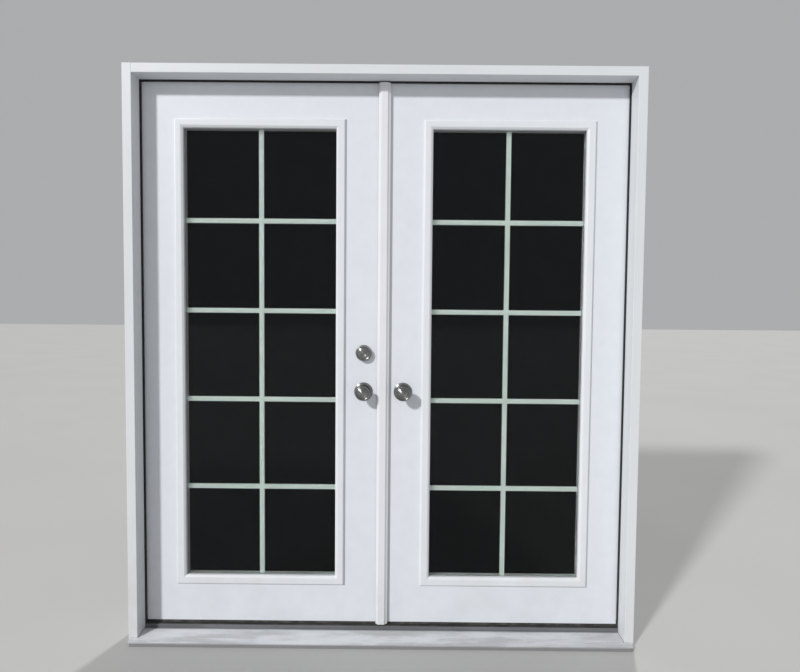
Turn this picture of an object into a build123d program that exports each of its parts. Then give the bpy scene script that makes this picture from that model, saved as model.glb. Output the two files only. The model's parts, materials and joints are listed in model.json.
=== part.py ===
from build123d import *
import os
from math import cos, radians

# A pair of inswing french doors in their frame, in millimetres.
# X runs to the right as seen from outside, Y runs into the house and Z runs up.
# The origin is in the middle of the width, on the frame's outside face and the sill's underside.

# Leaves
slab_width = 863.6
slab_height = 1955.8
slab_thickness = 44.5
slab_bottom = 44.0
slab_edge_round = 1.0
hinge_gap = 3.0
head_gap = 3.0
meeting_gap = 22.4

# Frame
jamb_depth = 116.0
jamb_thickness = 31.8
rabbet_depth = 12.7
stop_gap = 9.5
jamb_edge_round = 1.6

# Weatherstrip
kerf_width = 3.0
kerf_depth = 8.0
kerf_inset = 5.0
barb_clearance = 0.2
barb_root = 0.5
strip_width = 17.0
strip_inset = 0.5
strip_round = 3.0
strip_end_gap = 0.2
seal_clearance = 0.3
corner_pad_height = 26.0
corner_pad_taper = 4.0

# Sill
sill_nose_out = 28.0
sill_nose_height = 13.4
sill_deck_back = 19.0
sill_wall = 2.0
sill_end_inset = 8.0
sill_corner_cut = 6.0
riser_height = 32.5
rib_pitch = 6.4
rib_width = 2.2
rib_height = 0.8
cap_bottom = 20.0
cap_top = 34.0
cap_round = 2.5
cap_back_gap = 0.5
cap_end_gap = 0.3
cap_groove_inset = 5.0
cap_groove_width = 2.0
cap_groove_depth = 1.0
threshold_screw_count = 4
threshold_screw_end = 150.0
threshold_screw_length = 30.0

# Sweeps
sweep_inset = 2.0
sweep_end_gap = 2.0
sweep_base_thickness = 2.0
sweep_fin_thickness = 2.0
sweep_fin_lean = 2.5

# Glazed lights
light_side_margin = 126.8
light_bottom_margin = 137.0
light_top_margin = 138.8
light_rise = 9.0
light_edge_rise = 4.5
light_shoulder = 3.0
light_flat_end = 24.5
light_face_width = 33.5
light_inner_rise = 3.0
light_leg_start = 20.0
light_leg_width = 4.5
light_leg_gap = 0.5
light_cutout_gap = 0.8
glass_thickness = 3.2
glass_unit_thickness = 25.4
glass_edge_gap = 1.0
glass_seat_gap = 0.3
spacer_width = 7.0
spacer_cover = 1.0
grille_bar_width = 17.5
grille_bar_thickness = 5.5
grille_bar_bevel = 1.0
grille_columns = 2
grille_rows = 5

# Hinges
hinge_count = 3
hinge_height = 101.6
hinge_leaf_width = 44.5
hinge_leaf_thickness = 2.3
hinge_corner_radius = 15.9
hinge_barrel_radius = 6.2
hinge_barrel_gap = 0.6
hinge_pin_radius = 3.0
hinge_pin_clearance = 0.05
hinge_from_top = 178.0
hinge_from_bottom = 279.0
hinge_hole_inset = 11.0
hinge_hole_spread = 36.0
knuckle_count = 5
knuckle_gap = 0.3
knuckle_notch_gap = 0.4
pin_head_radius = 4.6
pin_head_height = 3.2

# Screws
screw_head_radius = 4.2
screw_head_height = 2.3
screw_radius = 2.1
screw_length = 24.0
jamb_screw_length = 18.0
light_screws_per_side = 4
light_screw_end = 110.0
light_screw_head_radius = 3.4
light_screw_head_height = 2.0
light_screw_bore_radius = 3.8
light_screw_sink = 3.0
light_screw_radius = 1.5
light_screw_bite = 10.0

# Astragal
astragal_gap = 4.5
astragal_lap = 10.5
astragal_foot = 9.5
astragal_rise = 18.0
astragal_side_rise = 10.0
astragal_bevel = 8.7
astragal_step = 10.7
astragal_step_slope = 5.0
astragal_step_rise = 13.5
astragal_lip_rise = 11.0
astragal_inner_gap = 5.0
astragal_bottom_drop = 2.0
astragal_top_gap = 0.7
astragal_cap_height = 15.0
astragal_cap_inset = 0.8
astragal_strip_width = 12.5
astragal_strip_inset = 1.2
astragal_strip_round = 1.5
astragal_screw_count = 4
astragal_screw_end = 240.0
astragal_screw_length = 40.0
boot_inset = 1.0

# Flush bolts
flush_bolt_width = 11.4
flush_bolt_depth = 4.4
flush_bolt_neck_width = 6.4
flush_bolt_neck_depth = 2.6
flush_bolt_length = 200.0
flush_bolt_clearance = 0.3
flush_bolt_end_gap = 2.0
flush_bolt_throw = 19.0
flush_hole_clearance = 1.5
flush_tab_height = 26.0
flush_tab_rise = 1.5
flush_tab_pitch = 5.2
flush_tab_rib = 1.8
bolt_pocket_extra = 2.0
floor_strike_width = 24.0
floor_strike_length = 38.0
strike_thickness = 1.6
strike_round = 3.0

# Locks
backset = 60.0
knob_height = 893.5
deadbolt_spacing = 139.7
cross_bore_radius = 27.0
edge_bore_radius = 12.7
case_clearance = 0.3
case_back = 14.0
channel_end_gap = 1.5
bolt_clearance = 0.3
bolt_flush_gap = 0.3
faceplate_width = 25.4
faceplate_height = 57.2
faceplate_thickness = 2.0
faceplate_round = 6.0
latch_width = 11.6
latch_rise = 15.6
latch_length = 34.0
latch_throw = 12.7
latch_bevel = 8.0
latch_nose = 2.0
deadbolt_width = 13.8
deadbolt_rise = 17.8
deadbolt_length = 46.0
deadbolt_throw = 25.4
deadbolt_tip_bevel = 1.0
strike_width = 28.0
strike_height = 60.0
strike_hole_extra = 2.5
rose_radius = 33.3
rose_thickness = 8.0
rose_rim = 2.0
rose_curve = 5.0
rose_step = 1.2
rose_step_radius = 22.0
rose_bore_clearance = 0.35
knob_projection = 58.0
knob_radius = 25.4
knob_length = 30.0
knob_waist = 14.0
knob_flare = 4.0
knob_neck_radius = 10.5
knob_ring_radius = 17.0
knob_ring_depth = 1.6
knob_edge_round = 5.0
spindle_size = 7.9
spindle_clearance = 0.1
spindle_socket_depth = 12.0
spindle_hole_radius = 6.2
collar_radius = 29.0
collar_rim = 3.0
collar_front_radius = 25.0
collar_front_round = 2.5
collar_projection = 20.0
collar_ring_radius = 16.0
collar_ring_depth = 1.4
plug_radius = 7.4
plug_clearance = 0.05
plug_slot_width = 1.6
plug_slot_height = 8.6
plug_slot_depth = 4.0
tailpiece_width = 5.6
tailpiece_thickness = 1.8
tailpiece_reach = 6.0
tailpiece_clearance = 0.3
tailpiece_hole_radius = 4.4
turn_plate_radius = 30.0
turn_plate_thickness = 8.0
turn_hub_radius = 6.5
turn_hub_clearance = 0.35
turn_hub_gap = 0.3
turn_projection = 24.0
turn_wing_length = 32.0
turn_wing_thickness = 6.0
turn_wing_base = 9.0

# Places that follow from the sizes above
slab_front = jamb_depth - slab_thickness
slab_middle = slab_front + slab_thickness / 2
stop_depth = slab_front - stop_gap
slab_inner_x = meeting_gap / 2
slab_outer_x = slab_inner_x + slab_width
slab_centre_x = slab_inner_x + slab_width / 2
slab_top = slab_bottom + slab_height
rabbet_x = slab_outer_x + hinge_gap
stop_x = rabbet_x - rabbet_depth
jamb_x = stop_x + jamb_thickness
rabbet_z = slab_top + head_gap
stop_z = rabbet_z - rabbet_depth
frame_top = stop_z + jamb_thickness

seal_front = slab_front - seal_clearance
barb_width = kerf_width - 2 * barb_clearance
barb_length = kerf_depth - barb_clearance + barb_root
strip_outer = strip_inset + strip_width
riser_front = stop_depth - sill_wall
sill_end_x = jamb_x - sill_end_inset
cap_back = jamb_depth - cap_back_gap
cap_half_length = rabbet_x - cap_end_gap

light_width = slab_width - 2 * light_side_margin
light_height = slab_height - light_bottom_margin - light_top_margin
light_middle_z = slab_bottom + light_bottom_margin + light_height / 2
leg_end = light_leg_start + light_leg_width
leg_middle = light_leg_start + light_leg_width / 2
leg_reach = (slab_thickness - light_leg_gap) / 2
cutout_inset = light_leg_start - light_cutout_gap
cutout_width = light_width - 2 * cutout_inset
cutout_height = light_height - 2 * cutout_inset
glass_inset = leg_end + glass_edge_gap
glass_width = light_width - 2 * glass_inset
glass_height = light_height - 2 * glass_inset
glass_depth = (slab_thickness - glass_unit_thickness) / 2
spacer_thickness = glass_unit_thickness - 2 * glass_thickness
light_screw_tip = slab_middle - light_screw_bite
grille_width = glass_width - 2 * (spacer_cover + spacer_width)
grille_height = glass_height - 2 * (spacer_cover + spacer_width)

pin_x = (slab_outer_x + rabbet_x) / 2
pin_y = jamb_depth + hinge_barrel_radius + hinge_barrel_gap
hinge_leaf_edge = pin_y - hinge_leaf_width
top_hinge_z = slab_top - hinge_from_top - hinge_height / 2
bottom_hinge_z = slab_bottom + hinge_from_bottom + hinge_height / 2
hinge_spacing = (top_hinge_z - bottom_hinge_z) / (hinge_count - 1)
hinge_heights = [bottom_hinge_z + i * hinge_spacing for i in range(hinge_count)]
knuckle_height = (hinge_height - (knuckle_count - 1) * knuckle_gap) / knuckle_count
knuckle_pitch = knuckle_height + knuckle_gap

web_left = -slab_inner_x + astragal_gap
web_front = slab_front - astragal_inner_gap
flange_left = -slab_inner_x - astragal_lap
flange_right = slab_inner_x + astragal_foot
flange_bottom = slab_bottom - astragal_bottom_drop
flange_top = rabbet_z - strip_outer - astragal_top_gap - astragal_cap_height
bolt_slot_depth = flush_bolt_neck_depth + flush_bolt_depth
bolt_centre_x = web_left + bolt_slot_depth / 2
upper_bolt_top = slab_top - flush_bolt_end_gap
lower_bolt_bottom = slab_bottom + flush_bolt_end_gap

lock_edge = -slab_inner_x
lock_x = lock_edge - backset
dummy_x = slab_inner_x + backset
deadbolt_z = knob_height + deadbolt_spacing
bolt_tip_x = lock_edge - bolt_flush_gap
case_radius = edge_bore_radius - case_clearance

BASE = (Align.CENTER, Align.CENTER, Align.MIN)


def at_depth(y):
    """Upright plane across the doorway; a negative extrusion goes into the house."""
    return Plane.XZ.offset(-y)


def across(x):
    """Upright plane along the frame's depth, with its normal to the right."""
    return Plane.YZ.offset(x)


def level(z):
    return Plane.XY.offset(z)


def turning(x, z):
    """Plane for profiles turned about a lock's axis: distance from the axis, then depth."""
    return Plane(origin=(x, 0, z), x_dir=(1, 0, 0), z_dir=(0, 0, 1))


def lock_axis(x, z):
    return Axis((x, 0, z), (0, 1, 0))


def joined(*pieces):
    """Loose like pieces that share one file."""
    with BuildPart() as group:
        for piece in pieces:
            add(piece.part)
    return group


def save(piece, name):
    piece.part.label = name
    export_step(piece.part, f"parts/{name}.step")


# Screws and where they go


def hinge_screw_places(x, inward):
    """Three screws in each hinge leaf, entering at x and pointing along inward."""
    outer_y = hinge_leaf_edge + hinge_hole_inset
    inner_y = jamb_depth - hinge_hole_inset
    spots = [(outer_y, hinge_hole_spread), (inner_y, 0), (outer_y, -hinge_hole_spread)]
    return [
        Plane(origin=(x, y, z + rise), z_dir=(inward, 0, 0)).location
        for z in hinge_heights
        for y, rise in spots
    ]


def astragal_screw_places():
    """Screws through the astragal's web into the edge of the right leaf."""
    first_z = slab_bottom + astragal_screw_end
    spacing = (slab_height - 2 * astragal_screw_end) / (astragal_screw_count - 1)
    return [
        Plane(origin=(web_left, slab_middle, first_z + i * spacing), z_dir=(1, 0, 0)).location
        for i in range(astragal_screw_count)
    ]


def light_screw_places(side, face_y, inward):
    """Screws along the middle of the light frame's leg, entering at face_y."""
    half_width = light_width / 2 - leg_middle
    half_height = light_height / 2 - leg_middle
    spacing = 2 * (half_height - light_screw_end) / (light_screws_per_side - 1)
    spots = [
        (edge * half_width, light_screw_end - half_height + i * spacing)
        for edge in (-1, 1)
        for i in range(light_screws_per_side)
    ]
    spots += [(0, -half_height), (0, half_height)]
    centre_x = side * slab_centre_x
    return [
        Plane(origin=(centre_x + x, face_y, light_middle_z + z), z_dir=(0, inward, 0)).location
        for x, z in spots
    ]


def screw_holes(places, depth):
    """Countersunk holes that the flat-head screws fill."""
    with Locations(*places):
        Cylinder(screw_radius, depth, align=BASE, mode=Mode.SUBTRACT)
        Cone(screw_head_radius, screw_radius, screw_head_height, align=BASE, mode=Mode.SUBTRACT)


def flat_head_screws(places, length):
    """Countersunk screws, one solid for each place."""
    with BuildPart() as screws:
        with Locations(*places):
            Cone(screw_head_radius, screw_radius, screw_head_height, align=BASE)
            with Locations((0, 0, screw_head_height)):
                Cylinder(screw_radius, length - screw_head_height, align=BASE)
    return screws


# Frame


def side_jamb(side):
    """Rabbeted leg with a kerf for the weatherstrip and a mortise for each hinge."""
    with BuildPart() as jamb:
        with BuildSketch() as section:
            with BuildLine():
                Polyline(
                    (side * jamb_x, 0),
                    (side * stop_x, 0),
                    (side * stop_x, stop_depth),
                    (side * rabbet_x, stop_depth),
                    (side * rabbet_x, jamb_depth),
                    (side * jamb_x, jamb_depth),
                    close=True,
                )
            make_face()
            stop_corners = section.vertices().sort_by(lambda v: side * v.X)[:2]
            fillet(stop_corners, radius=jamb_edge_round)
            with Locations((side * (rabbet_x - kerf_inset), stop_depth - kerf_depth / 2)):
                Rectangle(kerf_width, kerf_depth, mode=Mode.SUBTRACT)
        extrude(amount=frame_top)
        with BuildSketch(across(side * rabbet_x)):
            hinge_leaf_outline(jamb_depth)
        extrude(amount=side * hinge_leaf_thickness, mode=Mode.SUBTRACT)
        with Locations(*hinge_screw_places(side * rabbet_x, side)):
            Cylinder(screw_radius, jamb_screw_length, align=BASE, mode=Mode.SUBTRACT)
    return jamb


def hinge_leaf_outline(end_y):
    """Outlines of all the hinge leaves on one edge, rounded away from the pin."""
    depth = end_y - hinge_leaf_edge
    with Locations(*[(hinge_leaf_edge + depth / 2, z) for z in hinge_heights]):
        RectangleRounded(depth, hinge_height, hinge_corner_radius)
    with Locations(*[(end_y - hinge_corner_radius / 2, z) for z in hinge_heights]):
        Rectangle(hinge_corner_radius, hinge_height)


def head_jamb():
    """Rabbeted head between the legs, bored for the upper flush bolt and its strike."""
    with BuildPart() as head:
        with BuildSketch(across(-stop_x)) as stop:
            with Locations((0, stop_z)):
                Rectangle(stop_depth, jamb_thickness, align=Align.MIN)
            lower_corners = stop.vertices().group_by(Axis.Y)[0]
            fillet(lower_corners, radius=jamb_edge_round)
            with Locations((stop_depth - kerf_depth / 2, rabbet_z - kerf_inset)):
                Rectangle(kerf_depth, kerf_width, mode=Mode.SUBTRACT)
        extrude(amount=2 * stop_x)
        with BuildSketch(across(-rabbet_x)):
            with Locations((stop_depth, rabbet_z)):
                Rectangle(jamb_depth - stop_depth, frame_top - rabbet_z, align=Align.MIN)
        extrude(amount=2 * rabbet_x)
        bolt_reach = upper_bolt_top + flush_bolt_throw - rabbet_z
        with BuildSketch(level(rabbet_z)):
            bolt_hole_outline()
        extrude(amount=bolt_reach + bolt_pocket_extra, mode=Mode.SUBTRACT)
        with BuildSketch(level(rabbet_z)):
            bolt_strike_outline()
        extrude(amount=strike_thickness, mode=Mode.SUBTRACT)
    return head


def bolt_hole_outline(mode=Mode.ADD):
    """Hole that a flush bolt slides into, in the head, the threshold and the boot."""
    width = bolt_slot_depth + 2 * flush_hole_clearance
    depth = flush_bolt_width + 2 * flush_hole_clearance
    with Locations((bolt_centre_x, slab_middle)):
        Rectangle(width, depth, mode=mode)


def bolt_strike_outline():
    with Locations((bolt_centre_x, slab_middle)):
        RectangleRounded(floor_strike_width, floor_strike_length, strike_round)


def bolt_strikes():
    """Strike plates for the two flush bolts, let into the head and the threshold."""
    with BuildPart() as strikes:
        with BuildSketch(level(rabbet_z), level(cap_top - strike_thickness)):
            bolt_strike_outline()
            bolt_hole_outline(mode=Mode.SUBTRACT)
        extrude(amount=strike_thickness)
    return strikes


def side_weatherstrip(side):
    """Compression strip between the stop and the leaf, with its barb in the kerf."""
    bottom = cap_top + corner_pad_height + seal_clearance
    with BuildPart() as strip:
        with BuildSketch(level(bottom)) as section:
            with Locations((side * (rabbet_x - strip_inset - strip_width / 2), stop_depth)):
                Rectangle(strip_width, seal_front - stop_depth, align=(Align.CENTER, Align.MIN))
            fillet(section.vertices().group_by(Axis.Y)[-1], radius=strip_round)
            with Locations((side * (rabbet_x - kerf_inset), stop_depth + barb_root)):
                Rectangle(barb_width, barb_length, align=(Align.CENTER, Align.MAX))
        extrude(amount=rabbet_z - strip_inset - bottom)
    return strip


def head_weatherstrip():
    half_length = rabbet_x - strip_outer - strip_end_gap
    with BuildPart() as strip:
        with BuildSketch(across(-half_length)) as section:
            with Locations((stop_depth, rabbet_z - strip_outer)):
                Rectangle(seal_front - stop_depth, strip_width, align=Align.MIN)
            fillet(section.vertices().group_by(Axis.X)[-1], radius=strip_round)
            with Locations((stop_depth + barb_root, rabbet_z - kerf_inset)):
                Rectangle(barb_length, barb_width, align=(Align.MAX, Align.CENTER))
        extrude(amount=2 * half_length)
    return strip


def corner_pads():
    """Foam wedges that close the corners between the threshold and the stops."""
    with BuildPart() as pads:
        for side in (-1, 1):
            inner = side * (rabbet_x - strip_outer)
            outer = side * (rabbet_x - strip_inset)
            with BuildSketch(level(cap_top)):
                with BuildLine():
                    Polyline(
                        (outer, stop_depth),
                        (outer, seal_front),
                        (inner, seal_front),
                        (inner + side * corner_pad_taper, stop_depth),
                        close=True,
                    )
                make_face()
            extrude(amount=corner_pad_height)
    return pads


def deck_height(y):
    """Height of the sloping sill deck at depth y."""
    slope = (sill_deck_back - sill_nose_height) / (riser_front + sill_nose_out)
    return sill_nose_height + slope * (y + sill_nose_out)


def clear_of_jambs():
    """Cut both ends of a sill piece to the rabbeted section of the legs."""
    placed = (Align.MIN, Align.MIN, Align.MIN)
    for side in (-1, 1):
        with Locations((min(side * stop_x, side * jamb_x), 0, 0)):
            Box(jamb_thickness, stop_depth, frame_top, align=placed, mode=Mode.SUBTRACT)
        with Locations((min(side * rabbet_x, side * jamb_x), stop_depth, 0)):
            Box(jamb_x - rabbet_x, jamb_depth, frame_top, align=placed, mode=Mode.SUBTRACT)


def sill_deck():
    """Ribbed metal deck with a nosing that wraps the front and a riser at the back."""
    nose_back = sill_wall - sill_nose_out
    with BuildPart() as deck:
        with BuildSketch(across(-sill_end_x)):
            with BuildLine():
                Polyline(
                    (-sill_nose_out, 0),
                    (-sill_nose_out, deck_height(-sill_nose_out)),
                    (riser_front, sill_deck_back),
                    (riser_front, riser_height),
                    (stop_depth, riser_height),
                    (stop_depth, deck_height(stop_depth) - sill_wall),
                    (nose_back, deck_height(nose_back) - sill_wall),
                    (nose_back, 0),
                    close=True,
                )
            make_face()
            rib_count = int((riser_front + sill_nose_out - rib_pitch) / rib_pitch)
            for i in range(rib_count):
                rib_y = rib_pitch * (i + 1) - sill_nose_out
                with Locations((rib_y, deck_height(rib_y))):
                    Rectangle(rib_width, 2 * rib_height)
        extrude(amount=2 * sill_end_x)
        clear_of_jambs()
        with BuildSketch():
            for side in (-1, 1):
                with BuildLine():
                    Polyline(
                        (side * sill_end_x, -sill_nose_out),
                        (side * (sill_end_x - sill_corner_cut), -sill_nose_out),
                        (side * sill_end_x, sill_corner_cut - sill_nose_out),
                        close=True,
                    )
                make_face()
        extrude(amount=riser_height, mode=Mode.SUBTRACT)
    return deck


def sill_base():
    """Solid core under the deck and the threshold cap."""
    front = sill_wall - sill_nose_out
    half_length = sill_end_x - sill_corner_cut
    with BuildPart() as base:
        with BuildSketch(across(-half_length)):
            with BuildLine():
                Polyline(
                    (front, 0),
                    (front, deck_height(front) - sill_wall),
                    (stop_depth, deck_height(stop_depth) - sill_wall),
                    (stop_depth, cap_bottom),
                    (cap_back, cap_bottom),
                    (cap_back, 0),
                    close=True,
                )
            make_face()
        extrude(amount=2 * half_length)
        clear_of_jambs()
        with Locations(*threshold_screw_places()):
            Cylinder(screw_radius, threshold_screw_length, align=BASE, mode=Mode.SUBTRACT)
    return base


def threshold_screw_places():
    spacing = 2 * (cap_half_length - threshold_screw_end) / (threshold_screw_count - 1)
    first_x = threshold_screw_end - cap_half_length
    return [
        Plane(origin=(first_x + i * spacing, slab_middle, cap_top), z_dir=(0, 0, -1)).location
        for i in range(threshold_screw_count)
    ]


def threshold_cap():
    """Raised cap that the leaves close over, with two drip grooves along its top."""
    with BuildPart() as cap:
        with BuildSketch(across(-cap_half_length)) as section:
            with Locations((stop_depth, cap_bottom)):
                Rectangle(cap_back - stop_depth, cap_top - cap_bottom, align=Align.MIN)
            fillet(section.vertices().group_by(Axis.Y)[-1], radius=cap_round)
            for groove_y in (stop_depth + cap_groove_inset, cap_back - cap_groove_inset):
                with Locations((groove_y, cap_top)):
                    Rectangle(cap_groove_width, 2 * cap_groove_depth, mode=Mode.SUBTRACT)
        extrude(amount=2 * cap_half_length)
        screw_holes(threshold_screw_places(), threshold_screw_length)
        bolt_reach = cap_top - (lower_bolt_bottom - flush_bolt_throw)
        with BuildSketch(level(cap_top)):
            bolt_hole_outline()
        extrude(amount=-(bolt_reach + bolt_pocket_extra), mode=Mode.SUBTRACT)
        with BuildSketch(level(cap_top)):
            bolt_strike_outline()
        extrude(amount=-strike_thickness, mode=Mode.SUBTRACT)
    return cap


# Hinges


def knuckle_heights(z, first):
    """Centres of every second knuckle of the hinge at height z."""
    bottom = z - hinge_height / 2 + knuckle_height / 2
    return [bottom + i * knuckle_pitch for i in range(first, knuckle_count, 2)]


def hinge_leaves(side, plate_x, outward, own, other):
    """Three hinge leaves on one edge: plates with every second knuckle.

    plate_x is the outer face of the plates, which thicken along outward.
    """
    own_z = [k for z in hinge_heights for k in knuckle_heights(z, own)]
    other_z = [k for z in hinge_heights for k in knuckle_heights(z, other)]
    notch_radius = hinge_barrel_radius + knuckle_notch_gap
    with BuildPart() as leaves:
        with BuildSketch(across(plate_x)):
            hinge_leaf_outline(pin_y)
        extrude(amount=outward * hinge_leaf_thickness)
        for z in other_z:
            with Locations((side * pin_x, pin_y, z)):
                Cylinder(notch_radius, knuckle_height + 2 * knuckle_gap, mode=Mode.SUBTRACT)
        for z in own_z:
            with Locations((side * pin_x, pin_y, z)):
                Cylinder(hinge_barrel_radius, knuckle_height)
        for z in hinge_heights:
            with Locations((side * pin_x, pin_y, z)):
                Cylinder(hinge_pin_radius + hinge_pin_clearance, 2 * hinge_height, mode=Mode.SUBTRACT)
        screw_holes(hinge_screw_places(plate_x, outward), hinge_leaf_thickness)
    return leaves


def hinge_pins():
    """Loose pins with domed heads, one for each hinge."""
    with BuildPart() as pins:
        for side in (-1, 1):
            for z in hinge_heights:
                bottom = z - hinge_height / 2
                profile = Plane(origin=(side * pin_x, pin_y, bottom), x_dir=(1, 0, 0), z_dir=(0, -1, 0))
                with BuildSketch(profile):
                    with BuildLine():
                        Polyline(
                            (0, 0),
                            (hinge_pin_radius, 0),
                            (hinge_pin_radius, hinge_height + knuckle_gap),
                            (pin_head_radius, hinge_height + knuckle_gap),
                            (pin_head_radius, hinge_height + knuckle_gap + pin_head_height / 2),
                            (pin_head_radius / 2, hinge_height + knuckle_gap + pin_head_height),
                            (0, hinge_height + knuckle_gap + pin_head_height),
                            close=True,
                        )
                    make_face()
                revolve(axis=Axis((side * pin_x, pin_y, 0), (0, 0, 1)))
    return pins


# Leaves


def slab(side):
    """Leaf with its light cut out; the left one is bored for the locks."""
    with BuildPart() as leaf:
        with BuildSketch(at_depth(slab_front)):
            with Locations((side * slab_centre_x, slab_bottom + slab_height / 2)):
                Rectangle(slab_width, slab_height)
        extrude(amount=-slab_thickness)
        fillet(leaf.edges().filter_by(Axis.Z), radius=slab_edge_round)
        with BuildSketch(at_depth(slab_front)):
            with Locations((side * slab_centre_x, light_middle_z)):
                Rectangle(cutout_width, cutout_height)
        extrude(amount=-slab_thickness, mode=Mode.SUBTRACT)
        with BuildSketch(across(side * slab_outer_x)):
            hinge_leaf_outline(jamb_depth)
        extrude(amount=-side * hinge_leaf_thickness, mode=Mode.SUBTRACT)
        with Locations(*hinge_screw_places(side * slab_outer_x, -side)):
            Cylinder(screw_radius, screw_length, align=BASE, mode=Mode.SUBTRACT)
        if side < 0:
            with BuildSketch(at_depth(slab_front)):
                with Locations((lock_x, knob_height), (lock_x, deadbolt_z)):
                    Circle(cross_bore_radius)
            extrude(amount=-slab_thickness, mode=Mode.SUBTRACT)
            with BuildSketch(across(lock_edge)):
                with Locations((slab_middle, knob_height), (slab_middle, deadbolt_z)):
                    Circle(edge_bore_radius)
            extrude(amount=-backset, mode=Mode.SUBTRACT)
            with BuildSketch(across(lock_edge)):
                with Locations((slab_middle, knob_height), (slab_middle, deadbolt_z)):
                    faceplate_outline()
            extrude(amount=-faceplate_thickness, mode=Mode.SUBTRACT)
        else:
            with BuildSketch(across(slab_inner_x)):
                with Locations((slab_middle, deadbolt_z)):
                    deadbolt_hole_outline()
            tip_reach = bolt_tip_x + deadbolt_throw - slab_inner_x
            extrude(amount=tip_reach + bolt_pocket_extra, mode=Mode.SUBTRACT)
            with Locations(*astragal_screw_places()):
                Cylinder(screw_radius, astragal_screw_length, align=BASE, mode=Mode.SUBTRACT)
    return leaf


def faceplate_outline():
    RectangleRounded(faceplate_width, faceplate_height, faceplate_round)


def latch_hole_outline(mode=Mode.ADD):
    Rectangle(latch_width + 2 * strike_hole_extra, latch_rise + 2 * strike_hole_extra, mode=mode)


def deadbolt_hole_outline(mode=Mode.ADD):
    Rectangle(deadbolt_width + 2 * strike_hole_extra, deadbolt_rise + 2 * strike_hole_extra, mode=mode)


def door_sweep(side):
    """Vinyl sweep under a leaf, with three fins that reach down to the threshold."""
    fin_bottom = cap_top + seal_clearance
    base_bottom = slab_bottom - sweep_base_thickness
    start_x = side * slab_centre_x - slab_width / 2 + sweep_end_gap
    spacing = (slab_thickness - 2 * sweep_inset - sweep_fin_thickness - sweep_fin_lean) / 2
    with BuildPart() as sweep:
        with BuildSketch(across(start_x)):
            with Locations((slab_front + sweep_inset, base_bottom)):
                Rectangle(slab_thickness - 2 * sweep_inset, sweep_base_thickness, align=Align.MIN)
            for i in range(3):
                fin_y = slab_front + sweep_inset + sweep_fin_lean + i * spacing
                with BuildLine():
                    Polyline(
                        (fin_y, base_bottom),
                        (fin_y + sweep_fin_thickness, base_bottom),
                        (fin_y + sweep_fin_thickness - sweep_fin_lean, fin_bottom),
                        (fin_y - sweep_fin_lean, fin_bottom),
                        close=True,
                    )
                make_face()
        extrude(amount=slab_width - 2 * sweep_end_gap)
    return sweep


def light_frame(side, face_y, outward):
    """Moulded frame that clamps the glass; outward is -1 outside and 1 inside."""
    start = (side * slab_centre_x, face_y, light_middle_z - light_height / 2)
    seat = glass_depth - glass_seat_gap
    profile = [
        (0, 0),
        (0, light_edge_rise),
        (light_shoulder, light_rise),
        (light_flat_end, light_rise),
        (light_face_width, light_inner_rise),
        (light_face_width, -seat),
        (leg_end, -seat),
        (leg_end, -leg_reach),
        (light_leg_start, -leg_reach),
        (light_leg_start, 0),
    ]
    with BuildPart() as frame:
        with BuildLine(at_depth(face_y)):
            left = side * slab_centre_x - light_width / 2
            right = left + light_width
            bottom = light_middle_z - light_height / 2
            top = bottom + light_height
            Polyline(
                (side * slab_centre_x, bottom),
                (right, bottom),
                (right, top),
                (left, top),
                (left, bottom),
                close=True,
            )
        with BuildSketch(Plane(origin=start, x_dir=(0, 0, 1), z_dir=(1, 0, 0))):
            with BuildLine():
                Polyline(*[(inset, -outward * rise) for inset, rise in profile], close=True)
            make_face()
        sweep(transition=Transition.RIGHT)
        if outward > 0:
            head_bottom = face_y + light_rise - light_screw_sink
            with Locations(*light_screw_places(side, head_bottom, 1)):
                Cylinder(light_screw_bore_radius, 2 * light_screw_sink, align=BASE, mode=Mode.SUBTRACT)
        with Locations(*light_screw_places(side, light_screw_tip, 1)):
            Cylinder(light_screw_radius, slab_thickness, align=BASE, mode=Mode.SUBTRACT)
    return frame


def light_screws(side):
    """Screws that pull the two halves of a light frame together."""
    head_base = jamb_depth + light_rise - light_screw_sink
    with BuildPart() as screws:
        with Locations(*light_screw_places(side, light_screw_tip, 1)):
            Cylinder(light_screw_radius, head_base - light_screw_tip, align=BASE)
        with Locations(*light_screw_places(side, head_base, 1)):
            Cylinder(light_screw_head_radius, light_screw_head_height, align=BASE)
    return screws


def glass_pane(side, front_y):
    with BuildPart() as pane:
        with BuildSketch(at_depth(front_y)):
            with Locations((side * slab_centre_x, light_middle_z)):
                Rectangle(glass_width, glass_height)
        extrude(amount=-glass_thickness)
    return pane


def glass_spacer(side):
    """Spacer that holds the two panes apart all round their edge."""
    outer_width = glass_width - 2 * spacer_cover
    outer_height = glass_height - 2 * spacer_cover
    with BuildPart() as spacer:
        with BuildSketch(at_depth(slab_middle - spacer_thickness / 2)):
            with Locations((side * slab_centre_x, light_middle_z)):
                Rectangle(outer_width, outer_height)
                Rectangle(grille_width, grille_height, mode=Mode.SUBTRACT)
        extrude(amount=-spacer_thickness)
    return spacer


def grille(side):
    """Flat bars between the panes, which divide the glass into ten lights."""
    pitch_x = grille_width / grille_columns
    pitch_z = grille_height / grille_rows
    with BuildPart() as bars:
        with BuildSketch(at_depth(slab_middle - grille_bar_thickness / 2)):
            for column in range(1, grille_columns):
                x = side * slab_centre_x - grille_width / 2 + column * pitch_x
                with Locations((x, light_middle_z)):
                    Rectangle(grille_bar_width, grille_height)
            for row in range(1, grille_rows):
                z = light_middle_z - grille_height / 2 + row * pitch_z
                with Locations((side * slab_centre_x, z)):
                    Rectangle(grille_width, grille_bar_width)
        extrude(amount=-grille_bar_thickness)
        front = bars.faces().sort_by(Axis.Y)[0]
        back = bars.faces().sort_by(Axis.Y)[-1]
        chamfer(front.edges() + back.edges(), length=grille_bar_bevel)
    return bars


# Astragal on the right leaf


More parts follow.
